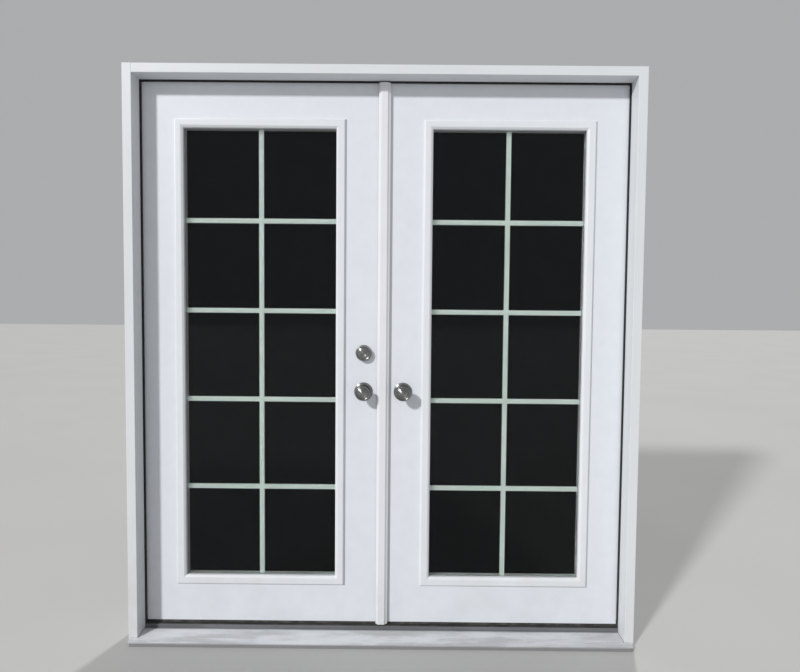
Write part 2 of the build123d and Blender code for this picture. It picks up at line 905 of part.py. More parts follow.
def flange_points():
    """Corners of the astragal's moulded face, bevelled on the left and stepped on the right."""
    return [
        (flange_left, web_front),
        (flange_left, slab_front - astragal_side_rise),
        (flange_left + astragal_bevel, slab_front - astragal_rise),
        (flange_right - astragal_step, slab_front - astragal_rise),
        (flange_right - astragal_step + astragal_step_slope, slab_front - astragal_step_rise),
        (flange_right, slab_front - astragal_lip_rise),
        (flange_right, slab_front),
        (slab_inner_x, slab_front),
        (slab_inner_x, web_front),
    ]


def bolt_slot_outline(clearance):
    """T-shaped section that keeps a flush bolt in the astragal's web."""
    with Locations((web_left, slab_middle)):
        Rectangle(
            flush_bolt_neck_depth + clearance,
            flush_bolt_neck_width + 2 * clearance,
            align=(Align.MIN, Align.CENTER),
        )
    with Locations((web_left + flush_bolt_neck_depth - clearance, slab_middle)):
        Rectangle(
            flush_bolt_depth + 2 * clearance,
            flush_bolt_width + 2 * clearance,
            align=(Align.MIN, Align.CENTER),
        )


def astragal():
    """T-shaped bar on the edge of the right leaf, which the left leaf closes against."""
    slot_length = flush_bolt_length + 2 * flush_bolt_end_gap
    with BuildPart() as bar:
        with BuildSketch(level(slab_bottom)):
            with Locations((web_left, slab_front)):
                Rectangle(slab_inner_x - web_left, slab_thickness, align=Align.MIN)
        extrude(amount=slab_height)
        with BuildSketch(level(flange_bottom)):
            with BuildLine():
                Polyline(*flange_points(), close=True)
            make_face()
            with Locations((web_left, web_front)):
                Rectangle(slab_inner_x - web_left, astragal_inner_gap, align=Align.MIN)
        extrude(amount=flange_top - flange_bottom)
        with BuildSketch(level(slab_bottom), level(slab_top - slot_length)):
            bolt_slot_outline(flush_bolt_clearance)
        extrude(amount=slot_length, mode=Mode.SUBTRACT)
        with BuildSketch(across(web_left)):
            with Locations((slab_middle, knob_height), (slab_middle, deadbolt_z)):
                strike_outline()
        extrude(amount=strike_thickness, mode=Mode.SUBTRACT)
        with BuildSketch(across(web_left)):
            with Locations((slab_middle, knob_height)):
                latch_hole_outline()
        latch_reach = bolt_tip_x + latch_throw - web_left
        extrude(amount=latch_reach + bolt_pocket_extra, mode=Mode.SUBTRACT)
        with BuildSketch(across(web_left)):
            with Locations((slab_middle, deadbolt_z)):
                deadbolt_hole_outline()
        extrude(amount=slab_inner_x - web_left, mode=Mode.SUBTRACT)
        screw_holes(astragal_screw_places(), slab_inner_x - web_left)
    return bar


def strike_outline():
    RectangleRounded(strike_width, strike_height, strike_round)


def strike_plates():
    """Latch and deadbolt strikes, let into the astragal's web."""
    with BuildPart() as strikes:
        with BuildSketch(across(web_left)):
            with Locations((slab_middle, knob_height), (slab_middle, deadbolt_z)):
                strike_outline()
            with Locations((slab_middle, knob_height)):
                latch_hole_outline(mode=Mode.SUBTRACT)
            with Locations((slab_middle, deadbolt_z)):
                deadbolt_hole_outline(mode=Mode.SUBTRACT)
        extrude(amount=strike_thickness)
    return strikes


def astragal_weatherstrip():
    """Strip behind the astragal's lap, which the left leaf presses on."""
    with BuildPart() as strip:
        with BuildSketch(level(slab_bottom)) as section:
            with Locations((flange_left + astragal_strip_inset, web_front)):
                Rectangle(astragal_strip_width, seal_front - web_front, align=Align.MIN)
            fillet(section.vertices().group_by(Axis.Y)[-1], radius=astragal_strip_round)
        extrude(amount=flange_top - slab_bottom)
    return strip


def astragal_end_caps():
    """Moulded cap on the flange's top and a boot under the web that seals on the sill."""
    with BuildPart() as caps:
        with BuildSketch(level(flange_top)):
            with BuildLine():
                Polyline(*flange_points(), close=True)
            make_face()
            offset(amount=-astragal_cap_inset, kind=Kind.INTERSECTION)
        extrude(amount=astragal_cap_height)
        boot_bottom = cap_top + seal_clearance
        with BuildSketch(level(boot_bottom)):
            with Locations((web_left, slab_middle)):
                Rectangle(
                    slab_inner_x - web_left,
                    slab_thickness - 2 * boot_inset,
                    align=(Align.MIN, Align.CENTER),
                )
            bolt_hole_outline(mode=Mode.SUBTRACT)
        extrude(amount=slab_bottom - boot_bottom)
    return caps


def flush_bolt(bottom, tab_bottom):
    """Sliding bolt in the astragal's web, with a ribbed finger tab."""
    rib_count = int(flush_tab_height / flush_tab_pitch)
    with BuildPart() as bolt:
        with BuildSketch(level(bottom)):
            bolt_slot_outline(0)
        extrude(amount=flush_bolt_length)
        for i in range(rib_count):
            rib_z = tab_bottom + (i + 0.5) * flush_tab_pitch
            with Locations((web_left, slab_middle, rib_z)):
                Box(2 * flush_tab_rise, flush_bolt_neck_width, flush_tab_rib)
    return bolt


# Locks


def rose(x, face_y, outward):
    """Round plate under a knob, with a soft edge and one turned step."""
    bore = knob_neck_radius + rose_bore_clearance

    def point(radius, height):
        return (radius, face_y + outward * height)

    with BuildPart() as plate:
        with BuildSketch(turning(x, knob_height)):
            with BuildLine():
                Line(point(bore, 0), point(rose_radius, 0))
                Line(point(rose_radius, 0), point(rose_radius, rose_rim))
                ThreePointArc(
                    point(rose_radius, rose_rim),
                    point(rose_radius - rose_curve / 3, rose_thickness - rose_curve / 3),
                    point(rose_radius - rose_curve, rose_thickness),
                )
                Polyline(
                    point(rose_radius - rose_curve, rose_thickness),
                    point(rose_step_radius, rose_thickness),
                    point(rose_step_radius - rose_step, rose_thickness - rose_step),
                    point(bore, rose_thickness - rose_step),
                    point(bore, 0),
                )
            make_face()
        revolve(axis=lock_axis(x, knob_height))
    return plate


def knob(x, face_y, outward, socket):
    """Turned knob on its neck; a socket in the neck takes the spindle."""

    def point(radius, height):
        return (radius, face_y + outward * height)

    body_start = knob_projection - knob_length
    waist = body_start + knob_waist
    corner = knob_edge_round * (1 - cos(radians(45)))
    with BuildPart() as handle:
        with BuildSketch(turning(x, knob_height)):
            with BuildLine():
                Polyline(
                    point(0, 0),
                    point(knob_neck_radius, 0),
                    point(knob_neck_radius, body_start),
                )
                ThreePointArc(
                    point(knob_neck_radius, body_start),
                    point(knob_radius - knob_flare, waist - knob_flare),
                    point(knob_radius, waist),
                )
                Line(point(knob_radius, waist), point(knob_radius, knob_projection - knob_edge_round))
                ThreePointArc(
                    point(knob_radius, knob_projection - knob_edge_round),
                    point(knob_radius - corner, knob_projection - corner),
                    point(knob_radius - knob_edge_round, knob_projection),
                )
                Polyline(
                    point(knob_radius - knob_edge_round, knob_projection),
                    point(knob_ring_radius + knob_ring_depth, knob_projection),
                    point(knob_ring_radius, knob_projection - knob_ring_depth),
                    point(0, knob_projection - knob_ring_depth),
                    point(0, 0),
                )
            make_face()
        revolve(axis=lock_axis(x, knob_height))
        if socket:
            with BuildSketch(at_depth(face_y)):
                with Locations((x, knob_height)):
                    Rectangle(spindle_size + 2 * spindle_clearance, spindle_size + 2 * spindle_clearance)
            extrude(amount=-outward * spindle_socket_depth, mode=Mode.SUBTRACT)
    return handle


def knob_spindle():
    """Square bar that joins the two knobs through the latch."""
    reach = spindle_socket_depth - spindle_clearance
    with BuildPart() as bar:
        with BuildSketch(at_depth(slab_front - reach)):
            with Locations((lock_x, knob_height)):
                Rectangle(spindle_size, spindle_size)
        extrude(amount=-(slab_thickness + 2 * reach))
    return bar


def bolt_case(z, bolt_width, bolt_height, channel_depth, hub_radius):
    """Tubular case with its faceplate; the hub hole takes the spindle or tailpiece."""
    tube_length = backset + case_back
    with BuildPart() as case:
        with BuildSketch(across(lock_edge)):
            with Locations((slab_middle, z)):
                faceplate_outline()
        extrude(amount=-faceplate_thickness)
        with BuildSketch(across(lock_edge)):
            with Locations((slab_middle, z)):
                Circle(case_radius)
        extrude(amount=-tube_length)
        with BuildSketch(across(lock_edge)):
            with Locations((slab_middle, z)):
                Rectangle(bolt_width + 2 * bolt_clearance, bolt_height + 2 * bolt_clearance)
        extrude(amount=-channel_depth, mode=Mode.SUBTRACT)
        with BuildSketch(at_depth(slab_front)):
            with Locations((lock_x, z)):
                Circle(hub_radius)
        extrude(amount=-slab_thickness, mode=Mode.SUBTRACT)
    return case


def latch_bolt():
    """Sprung latch, bevelled on the side that meets the strike as the leaf closes."""
    with BuildPart() as bolt:
        with BuildSketch(level(knob_height - latch_rise / 2)):
            with BuildLine():
                Polyline(
                    (bolt_tip_x - latch_length, slab_middle - latch_width / 2),
                    (bolt_tip_x - latch_bevel, slab_middle - latch_width / 2),
                    (bolt_tip_x, slab_middle + latch_width / 2 - latch_nose),
                    (bolt_tip_x, slab_middle + latch_width / 2),
                    (bolt_tip_x - latch_length, slab_middle + latch_width / 2),
                    close=True,
                )
            make_face()
        extrude(amount=latch_rise)
    return bolt


def deadbolt():
    """Square bolt with a softened tip."""
    with BuildPart() as bolt:
        with BuildSketch(across(bolt_tip_x)):
            with Locations((slab_middle, deadbolt_z)):
                Rectangle(deadbolt_width, deadbolt_rise)
        extrude(amount=-deadbolt_length)
        chamfer(bolt.faces().sort_by(Axis.X)[-1].edges(), length=deadbolt_tip_bevel)
    return bolt


def deadbolt_collar():
    """Tapered outside collar with a turned ring round the key plug."""

    def point(radius, height):
        return (radius, slab_front - height)

    bore = plug_radius + plug_clearance
    face = collar_projection - collar_ring_depth
    with BuildPart() as collar:
        with BuildSketch(turning(lock_x, deadbolt_z)):
            with BuildLine():
                Polyline(
                    point(bore, 0),
                    point(collar_radius, 0),
                    point(collar_radius, collar_rim),
                    point(collar_front_radius, collar_projection - collar_front_round),
                    point(collar_front_radius - collar_front_round, collar_projection),
                    point(collar_ring_radius + collar_ring_depth, collar_projection),
                    point(collar_ring_radius, face),
                    point(bore, face),
                    close=True,
                )
            make_face()
        revolve(axis=lock_axis(lock_x, deadbolt_z))
    return collar


def key_plug():
    """Key plug with its slot, and the flat tailpiece that drives the bolt."""
    front = slab_front - collar_projection + collar_ring_depth
    tail_end = jamb_depth + tailpiece_reach
    with BuildPart() as plug:
        with BuildSketch(at_depth(front)):
            with Locations((lock_x, deadbolt_z)):
                Circle(plug_radius)
        extrude(amount=-(slab_front - front))
        with BuildSketch(at_depth(front)):
            with Locations((lock_x, deadbolt_z)):
                Rectangle(plug_slot_width, plug_slot_height)
        extrude(amount=-plug_slot_depth, mode=Mode.SUBTRACT)
        with BuildSketch(at_depth(slab_front)):
            with Locations((lock_x, deadbolt_z)):
                Rectangle(tailpiece_thickness, tailpiece_width)
        extrude(amount=-(tail_end - slab_front))
    return plug


def turn_plate():
    """Inside plate of the deadbolt."""

    def point(radius, height):
        return (radius, jamb_depth + height)

    bore = turn_hub_radius + turn_hub_clearance
    with BuildPart() as plate:
        with BuildSketch(turning(lock_x, deadbolt_z)):
            with BuildLine():
                Polyline(
                    point(bore, 0),
                    point(turn_plate_radius, 0),
                    point(turn_plate_radius, turn_plate_thickness / 2),
                    point(turn_plate_radius - turn_plate_thickness / 2, turn_plate_thickness),
                    point(bore, turn_plate_thickness),
                    close=True,
                )
            make_face()
        revolve(axis=lock_axis(lock_x, deadbolt_z))
    return plate


def thumbturn():
    """Oval wing on a round hub, slotted for the tailpiece."""
    with BuildPart() as turn:
        with BuildSketch(at_depth(jamb_depth + turn_hub_gap)):
            with Locations((lock_x, deadbolt_z)):
                Circle(turn_hub_radius)
        extrude(amount=-turn_wing_base)
        with BuildSketch(at_depth(jamb_depth + turn_wing_base)) as wing:
            with Locations((lock_x, deadbolt_z)):
                SlotOverall(turn_wing_length, turn_wing_thickness, rotation=90)
        extrude(amount=turn_wing_base - turn_projection)
        with BuildSketch(at_depth(jamb_depth + turn_hub_gap)):
            with Locations((lock_x, deadbolt_z)):
                Rectangle(
                    tailpiece_thickness + 2 * tailpiece_clearance,
                    tailpiece_width + 2 * tailpiece_clearance,
                )
        extrude(amount=-(tailpiece_reach + tailpiece_clearance), mode=Mode.SUBTRACT)
    return turn


os.makedirs("parts", exist_ok=True)

# Frame pieces
for side, hand in ((-1, "left"), (1, "right")):
    save(side_jamb(side), f"{hand}_jamb")
    save(side_weatherstrip(side), f"{hand}_weatherstrip")
frame_screw_places = hinge_screw_places(-rabbet_x, -1) + hinge_screw_places(rabbet_x, 1)
frame_leaves = [hinge_leaves(side, side * rabbet_x, side, 0, 1) for side in (-1, 1)]
save(head_jamb(), "head_jamb")
save(head_weatherstrip(), "head_weatherstrip")
save(corner_pads(), "corner_pads")
save(sill_base(), "sill_base")
save(sill_deck(), "sill_deck")
save(threshold_cap(), "threshold_cap")
save(flat_head_screws(threshold_screw_places(), threshold_screw_length), "threshold_screws")
save(bolt_strikes(), "flush_bolt_strikes")
save(joined(*frame_leaves), "frame_hinge_leaves")
save(flat_head_screws(frame_screw_places, jamb_screw_length), "frame_hinge_screws")
save(hinge_pins(), "hinge_pins")

# What both leaves have
outer_glass_y = slab_front + glass_depth
inner_glass_y = jamb_depth - glass_depth - glass_thickness
for side, hand in ((-1, "left"), (1, "right")):
    save(slab(side), f"{hand}_slab")
    save(door_sweep(side), f"{hand}_sweep")
    save(hinge_leaves(side, side * slab_outer_x, -side, 1, 0), f"{hand}_hinge_leaves")
    save(light_frame(side, slab_front, -1), f"{hand}_light_frame_outer")
    save(light_frame(side, jamb_depth, 1), f"{hand}_light_frame_inner")
    save(light_screws(side), f"{hand}_light_screws")
    save(glass_pane(side, outer_glass_y), f"{hand}_glass_outer")
    save(glass_pane(side, inner_glass_y), f"{hand}_glass_inner")
    save(glass_spacer(side), f"{hand}_glass_spacer")
    save(grille(side), f"{hand}_grille")
slab_screws = {
    side: flat_head_screws(hinge_screw_places(side * slab_outer_x, -side), screw_length)
    for side in (-1, 1)
}
astragal_screws = flat_head_screws(astragal_screw_places(), astragal_screw_length)
save(slab_screws[-1], "left_hinge_screws")
save(joined(slab_screws[1], astragal_screws), "right_leaf_screws")

# Astragal and flush bolts on the right leaf
upper_bolt_bottom = upper_bolt_top - flush_bolt_length
lower_tab_bottom = lower_bolt_bottom + flush_bolt_length - flush_tab_height
save(astragal(), "astragal")
save(astragal_weatherstrip(), "astragal_weatherstrip")
save(astragal_end_caps(), "astragal_end_caps")
save(strike_plates(), "strike_plates")
save(flush_bolt(upper_bolt_bottom, upper_bolt_bottom), "flush_bolt_upper")
save(flush_bolt(lower_bolt_bottom, lower_tab_bottom), "flush_bolt_lower")

# Knobs on both leaves; only the left ones turn a latch
for x, hand, turns in ((lock_x, "left", True), (dummy_x, "right", False)):
    save(rose(x, slab_front, -1), f"{hand}_rose_outer")
    save(rose(x, jamb_depth, 1), f"{hand}_rose_inner")
    save(knob(x, slab_front, -1, turns), f"{hand}_knob_outer")
    save(knob(x, jamb_depth, 1, turns), f"{hand}_knob_inner")
latch_channel = latch_length + bolt_flush_gap + channel_end_gap
latch_case = bolt_case(knob_height, latch_width, latch_rise, latch_channel, spindle_hole_radius)
save(knob_spindle(), "knob_spindle")
save(latch_case, "latch_case")
save(latch_bolt(), "latch_bolt")

# Deadbolt
deadbolt_channel = deadbolt_length + bolt_flush_gap + channel_end_gap
deadbolt_case = bolt_case(
    deadbolt_z,
    deadbolt_width,
    deadbolt_rise,
    deadbolt_channel,
    tailpiece_hole_radius,
)
save(deadbolt_case, "deadbolt_case")
save(deadbolt(), "deadbolt")
save(deadbolt_collar(), "deadbolt_collar")
save(key_plug(), "deadbolt_key_plug")
save(turn_plate(), "deadbolt_turn_plate")
save(thumbturn(), "deadbolt_thumbturn")
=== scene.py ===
import json
from math import cos, pi, radians, sin

import bmesh
import bpy
from mathutils import Matrix, Vector

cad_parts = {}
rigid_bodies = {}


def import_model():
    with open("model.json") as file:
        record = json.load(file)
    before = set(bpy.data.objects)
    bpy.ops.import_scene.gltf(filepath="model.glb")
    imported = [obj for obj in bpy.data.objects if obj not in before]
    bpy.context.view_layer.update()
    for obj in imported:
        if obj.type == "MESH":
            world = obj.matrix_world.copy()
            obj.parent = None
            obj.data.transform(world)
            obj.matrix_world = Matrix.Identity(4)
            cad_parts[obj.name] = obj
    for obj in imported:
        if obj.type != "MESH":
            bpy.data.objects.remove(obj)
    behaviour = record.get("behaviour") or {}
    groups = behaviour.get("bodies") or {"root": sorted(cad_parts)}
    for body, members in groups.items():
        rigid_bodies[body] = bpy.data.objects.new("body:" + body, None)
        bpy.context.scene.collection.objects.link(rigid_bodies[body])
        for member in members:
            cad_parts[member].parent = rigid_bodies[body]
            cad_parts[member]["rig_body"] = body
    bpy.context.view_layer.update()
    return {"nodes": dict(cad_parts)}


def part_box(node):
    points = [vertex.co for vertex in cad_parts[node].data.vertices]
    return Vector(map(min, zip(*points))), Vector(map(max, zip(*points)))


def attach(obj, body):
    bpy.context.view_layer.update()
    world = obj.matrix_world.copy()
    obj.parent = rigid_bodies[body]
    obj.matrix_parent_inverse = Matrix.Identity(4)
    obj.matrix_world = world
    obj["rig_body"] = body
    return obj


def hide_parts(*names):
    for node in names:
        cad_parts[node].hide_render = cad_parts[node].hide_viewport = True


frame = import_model()
nodes = frame["nodes"]

MM = 0.001
HANDS = ("left", "right")
SEAM = 0.002 * MM  # corners closer than this are joined
RIB_PITCH = 6.4 * MM  # from rib to rib of the sill deck
STOP_FACE = 865.1 * MM  # each jamb's stop, from the middle of the doors

# The leaves' two faces: where they are, read from a packed slab, and which way they look
slab_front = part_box("left_slab")[0].y
slab_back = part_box("left_slab")[1].y
LEAF_FACES = {"outer": (slab_front, -1), "inner": (slab_back, 1)}


def centre_of(node):
    low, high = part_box(node)
    return (low + high) / 2


# Shader groups


def new_group(name, inputs, outputs):
    """A node group with its inputs, as pairs of name and default, and its outputs' names."""
    group = bpy.data.node_groups.new(name, "ShaderNodeTree")
    for label, value in inputs:
        kind = "NodeSocketVector" if isinstance(value, tuple) else "NodeSocketFloat"
        socket = group.interface.new_socket(label, in_out="INPUT", socket_type=kind)
        socket.default_value = value
    for label in outputs:
        group.interface.new_socket(label, in_out="OUTPUT", socket_type="NodeSocketFloat")
    given = group.nodes.new("NodeGroupInput").outputs
    result = group.nodes.new("NodeGroupOutput").inputs
    return group, given, result


def add(tree, kind, links=(), **settings):
    """A node with its settings; links pairs an input with a socket or a plain value."""
    node = tree.nodes.new(kind)
    for key, value in settings.items():
        setattr(node, key, value)
    for key, value in links:
        if isinstance(value, bpy.types.NodeSocket):
            tree.links.new(value, node.inputs[key])
        else:
            node.inputs[key].default_value = value
    return node


def maths(tree, operation, a, b=0.0, clamp=False):
    node = add(tree, "ShaderNodeMath", ((0, a), (1, b)), operation=operation, use_clamp=clamp)
    return node.outputs[0]


def ranged(tree, value, low, high, to_low=0.0, to_high=1.0):
    """Turns a value between low and high into one between two others, softly."""
    links = ((0, value), (1, low), (2, high), (3, to_low), (4, to_high))
    return add(tree, "ShaderNodeMapRange", links, interpolation_type="SMOOTHSTEP").outputs[0]


def noise(tree, vector, scale, detail=2.0, roughness=0.5):
    links = (("Vector", vector), ("Scale", scale), ("Detail", detail), ("Roughness", roughness))
    return add(tree, "ShaderNodeTexNoise", links).outputs["Fac"]


def object_place(tree):
    return add(tree, "ShaderNodeTexCoord").outputs["Object"]


def parts_of(tree, place):
    """The X, Y and Z of a place."""
    return add(tree, "ShaderNodeSeparateXYZ", ((0, place),)).outputs


def off_middle(tree, steps):
    """How far a running count of steps is from the middle of the step it is in."""
    phase = maths(tree, "FRACT", steps)
    return maths(tree, "ABSOLUTE", maths(tree, "SUBTRACT", phase, 0.5))


def centred(tree, vector, centre):
    """A place measured from the middle of a piece."""
    return add(tree, "ShaderNodeMapping", ((0, vector), (1, -centre))).outputs[0]


def stretched(tree, vector, scale):
    """A place with its axes scaled, so that noise on it runs in streaks."""
    return add(tree, "ShaderNodeMapping", ((0, vector), (3, scale))).outputs[0]


def dust_group():
    """Dust low down and in soft patches, broken up by specks."""
    group, given, result = new_group(
        "dust", (("Patch Size", 7.0), ("Top", 0.7), ("Amount", 0.5)), ("Mask",)
    )
    place = object_place(group)
    share_of_top = maths(group, "DIVIDE", parts_of(group, place)[2], given["Top"])
    low_down = maths(group, "SUBTRACT", 1.0, share_of_top, clamp=True)
    settling = maths(group, "POWER", low_down, 2.4)
    cloud = noise(group, place, given["Patch Size"], detail=6.0, roughness=0.62)
    patches = ranged(group, cloud, 0.38, 0.72)
    grain = noise(group, place, 420.0, detail=3.0, roughness=0.7)
    specks = ranged(group, grain, 0.35, 0.75, to_low=0.6)
    near_floor = maths(group, "MULTIPLY", settling, maths(group, "ADD", patches, 0.35))
    spread = maths(group, "ADD", near_floor, maths(group, "MULTIPLY", patches, 0.12))
    mask = maths(group, "MULTIPLY", spread, specks)
    group.links.new(maths(group, "MULTIPLY", mask, given["Amount"], True), result["Mask"])
    return group


def paint_film_group():
    """Orange peel and slow unevenness of a sprayed or brushed paint film."""
    group, given, result = new_group(
        "paint film",
        (("Peel Size", 260.0), ("Stretch", (1.0, 1.0, 1.0))),
        ("Height", "Mottle"),
    )
    place = add(
        group, "ShaderNodeVectorMath", ((0, object_place(group)), (1, given["Stretch"])),
        operation="MULTIPLY",
    ).outputs[0]
    peel = maths(group, "MULTIPLY", noise(group, place, given["Peel Size"]), 0.5)
    waves = maths(group, "MULTIPLY", noise(group, place, 5.0, detail=3.0), 2.0)
    group.links.new(maths(group, "ADD", peel, waves), result["Height"])
    cloud = noise(group, place, 16.0, detail=5.0, roughness=0.6)
    group.links.new(ranged(group, cloud, 0.3, 0.7), result["Mottle"])
    return group


def scratches_group():
    """Fine scratches that run along X, broken up into patches."""
    group, given, result = new_group("scratches", (("Density", 0.5),), ("Mask",))
    place = object_place(group)
    fine_run, broken_run = (6.0, 900.0, 900.0), (9.0, 14.0, 14.0)
    fine = noise(group, stretched(group, place, fine_run), 1.0, detail=3.0, roughness=0.7)
    broken = noise(group, stretched(group, place, broken_run), 1.0)
    lines = ranged(group, fine, 0.56, 0.7)
    mask = maths(group, "MULTIPLY", lines, ranged(group, broken, 0.4, 0.66))
    group.links.new(maths(group, "MULTIPLY", mask, given["Density"], True), result["Mask"])
    return group


def turned_finish_group():
    """Fine rings round an axis along Y, as a lathe and a satin brush leave them."""
    group, given, result = new_group(
        "turned finish", (("From Axis", (0.0, 0.0, 0.0)),), ("Rings", "Smudge")
    )
    place = given["From Axis"]
    across, _, height = parts_of(group, place)
    arm = add(group, "ShaderNodeCombineXYZ", ((0, across), (1, height))).outputs[0]
    radius = add(group, "ShaderNodeVectorMath", ((0, arm),), operation="LENGTH").outputs["Value"]
    rings = add(
        group, "ShaderNodeTexNoise", (("W", radius), ("Scale", 2600.0), ("Detail", 2.0)),
        noise_dimensions="1D",
    ).outputs["Fac"]
    group.links.new(rings, result["Rings"])
    cloud = noise(group, place, 60.0, detail=4.0, roughness=0.6)
    group.links.new(ranged(group, cloud, 0.35, 0.7), result["Smudge"])
    return group


dust = dust_group()
paint_film = paint_film_group()
scratches = scratches_group()
turned_finish = turned_finish_group()


def placed(tree, group, **values):
    """Puts a shader group in a material; underscores stand for spaces in its input names."""
    links = [(key.replace("_", " ").title(), value) for key, value in values.items()]
    return add(tree, "ShaderNodeGroup", links, node_tree=group).outputs


# Materials


def new_material(name, **plain):
    """A material with its shader; plain values go on the shader's own sockets."""
    material = bpy.data.materials.new(name)
    material.use_nodes = True
    tree = material.node_tree
    shader = tree.nodes["Principled BSDF"]
    for key, value in plain.items():
        shader.inputs[key.replace("_", " ")].default_value = value
    return material, tree, shader.inputs


def tint(tree, factor, first, second):
    """The first colour, plain or from a socket, turned towards the second by a factor."""
    if isinstance(first, tuple):
        first = (*first, 1)
    links = ((0, factor), (6, first), (7, (*second, 1)))
    return add(tree, "ShaderNodeMix", links, data_type="RGBA").outputs[2]


def bumped(tree, shader, height, strength, distance):
    links = (("Strength", strength), ("Distance", distance), ("Height", height))
    tree.links.new(add(tree, "ShaderNodeBump", links).outputs[0], shader["Normal"])


def painted(name, colour, shade, peel_size, roughness, dust_amount, stretch=(1.0, 1.0, 1.0)):
    """White paint: a film with slight peel, slow mottling and dust near the sill."""
    material, tree, shader = new_material(name, Specular_IOR_Level=0.4)
    film = placed(tree, paint_film, peel_size=peel_size, stretch=stretch)
    dirt = placed(tree, dust, patch_size=6.0, top=0.5, amount=dust_amount)["Mask"]
    clean = tint(tree, film["Mottle"], colour, shade)
    tree.links.new(tint(tree, dirt, clean, (0.42, 0.4, 0.36)), shader["Base Color"])
    uneven = ranged(tree, film["Mottle"], 0.0, 1.0, roughness, roughness + 0.07)
    rough = maths(tree, "ADD", uneven, maths(tree, "MULTIPLY", dirt, 0.35))
    tree.links.new(rough, shader["Roughness"])
    bumped(tree, shader, film["Height"], 0.1, 0.3 * MM)
    return material


def window_glass(name, colour, refraction):
    """Flat coated glass with a trace of dust; a low refraction keeps its reflections weak."""
    material, tree, shader = new_material(
        name, Base_Color=(*colour, 1), Transmission_Weight=1.0, Metallic=0.0, IOR=refraction,
    )
    cloud = noise(tree, object_place(tree), 3.0, detail=4.0, roughness=0.6)
    tree.links.new(ranged(tree, cloud, 0.5, 0.8, to_high=0.035), shader["Roughness"])
    return material


def satin_nickel(name, centre):
    """Nickel brushed in rings round one lock's axis."""
    material, tree, shader = new_material(
        name, Metallic=1.0, Anisotropic=0.8, Anisotropic_Rotation=0.25
    )
    tangent = add(tree, "ShaderNodeTangent", direction_type="RADIAL", axis="Y").outputs[0]
    tree.links.new(tangent, shader["Tangent"])
    finish = placed(tree, turned_finish, from_axis=centred(tree, object_place(tree), centre))
    # The colours are darker than bare nickel: a painted dark reflection of shaded surroundings,
    # under the rings of the brushing.
    clean = tint(tree, finish["Rings"], (0.2, 0.2, 0.2), (0.42, 0.418, 0.415))
    tarnish = maths(tree, "MULTIPLY", finish["Smudge"], 0.3)
    tree.links.new(tint(tree, tarnish, clean, (0.14, 0.14, 0.139)), shader["Base Color"])
    brushed = ranged(tree, finish["Rings"], 0.3, 0.7, 0.26, 0.36)
    rough = maths(tree, "ADD", brushed, maths(tree, "MULTIPLY", finish["Smudge"], 0.08))
    tree.links.new(rough, shader["Roughness"])
    bumped(tree, shader, finish["Rings"], 0.16, 0.05 * MM)
    return material


def brushed_plate(name, colour, streak, low_rough, high_rough):
    """Flat metal brushed along its height."""
    material, tree, shader = new_material(name, Metallic=1.0)
    brushing = (2600.0, 2600.0, 60.0)
    streaks = noise(tree, stretched(tree, object_place(tree), brushing), 1.0)
    tone = ranged(tree, streaks, 0.3, 0.7)
    tree.links.new(tint(tree, tone, colour, streak), shader["Base Color"])
    tree.links.new(ranged(tree, streaks, 0.3, 0.7, low_rough, high_rough), shader["Roughness"])
    bumped(tree, shader, streaks, 0.12, 0.05 * MM)
    return material


def black_seal(name):
    """Skinned foam and vinyl, with pores and a little pale dust."""
    material, tree, shader = new_material(name, Specular_IOR_Level=0.25)
    place = object_place(tree)
    pores = noise(tree, place, 900.0, detail=3.0, roughness=0.7)
    dirt = placed(tree, dust, patch_size=30.0, top=0.4, amount=0.5)["Mask"]
    skin = ranged(tree, pores, 0.3, 0.7)
    clean = tint(tree, skin, (0.012, 0.012, 0.013), (0.026, 0.026, 0.028))
    tree.links.new(tint(tree, dirt, clean, (0.2, 0.19, 0.17)), shader["Base Color"])
    tree.links.new(ranged(tree, pores, 0.3, 0.7, 0.6, 0.85), shader["Roughness"])
    bumped(tree, shader, pores, 0.35, 0.2 * MM)
    return material


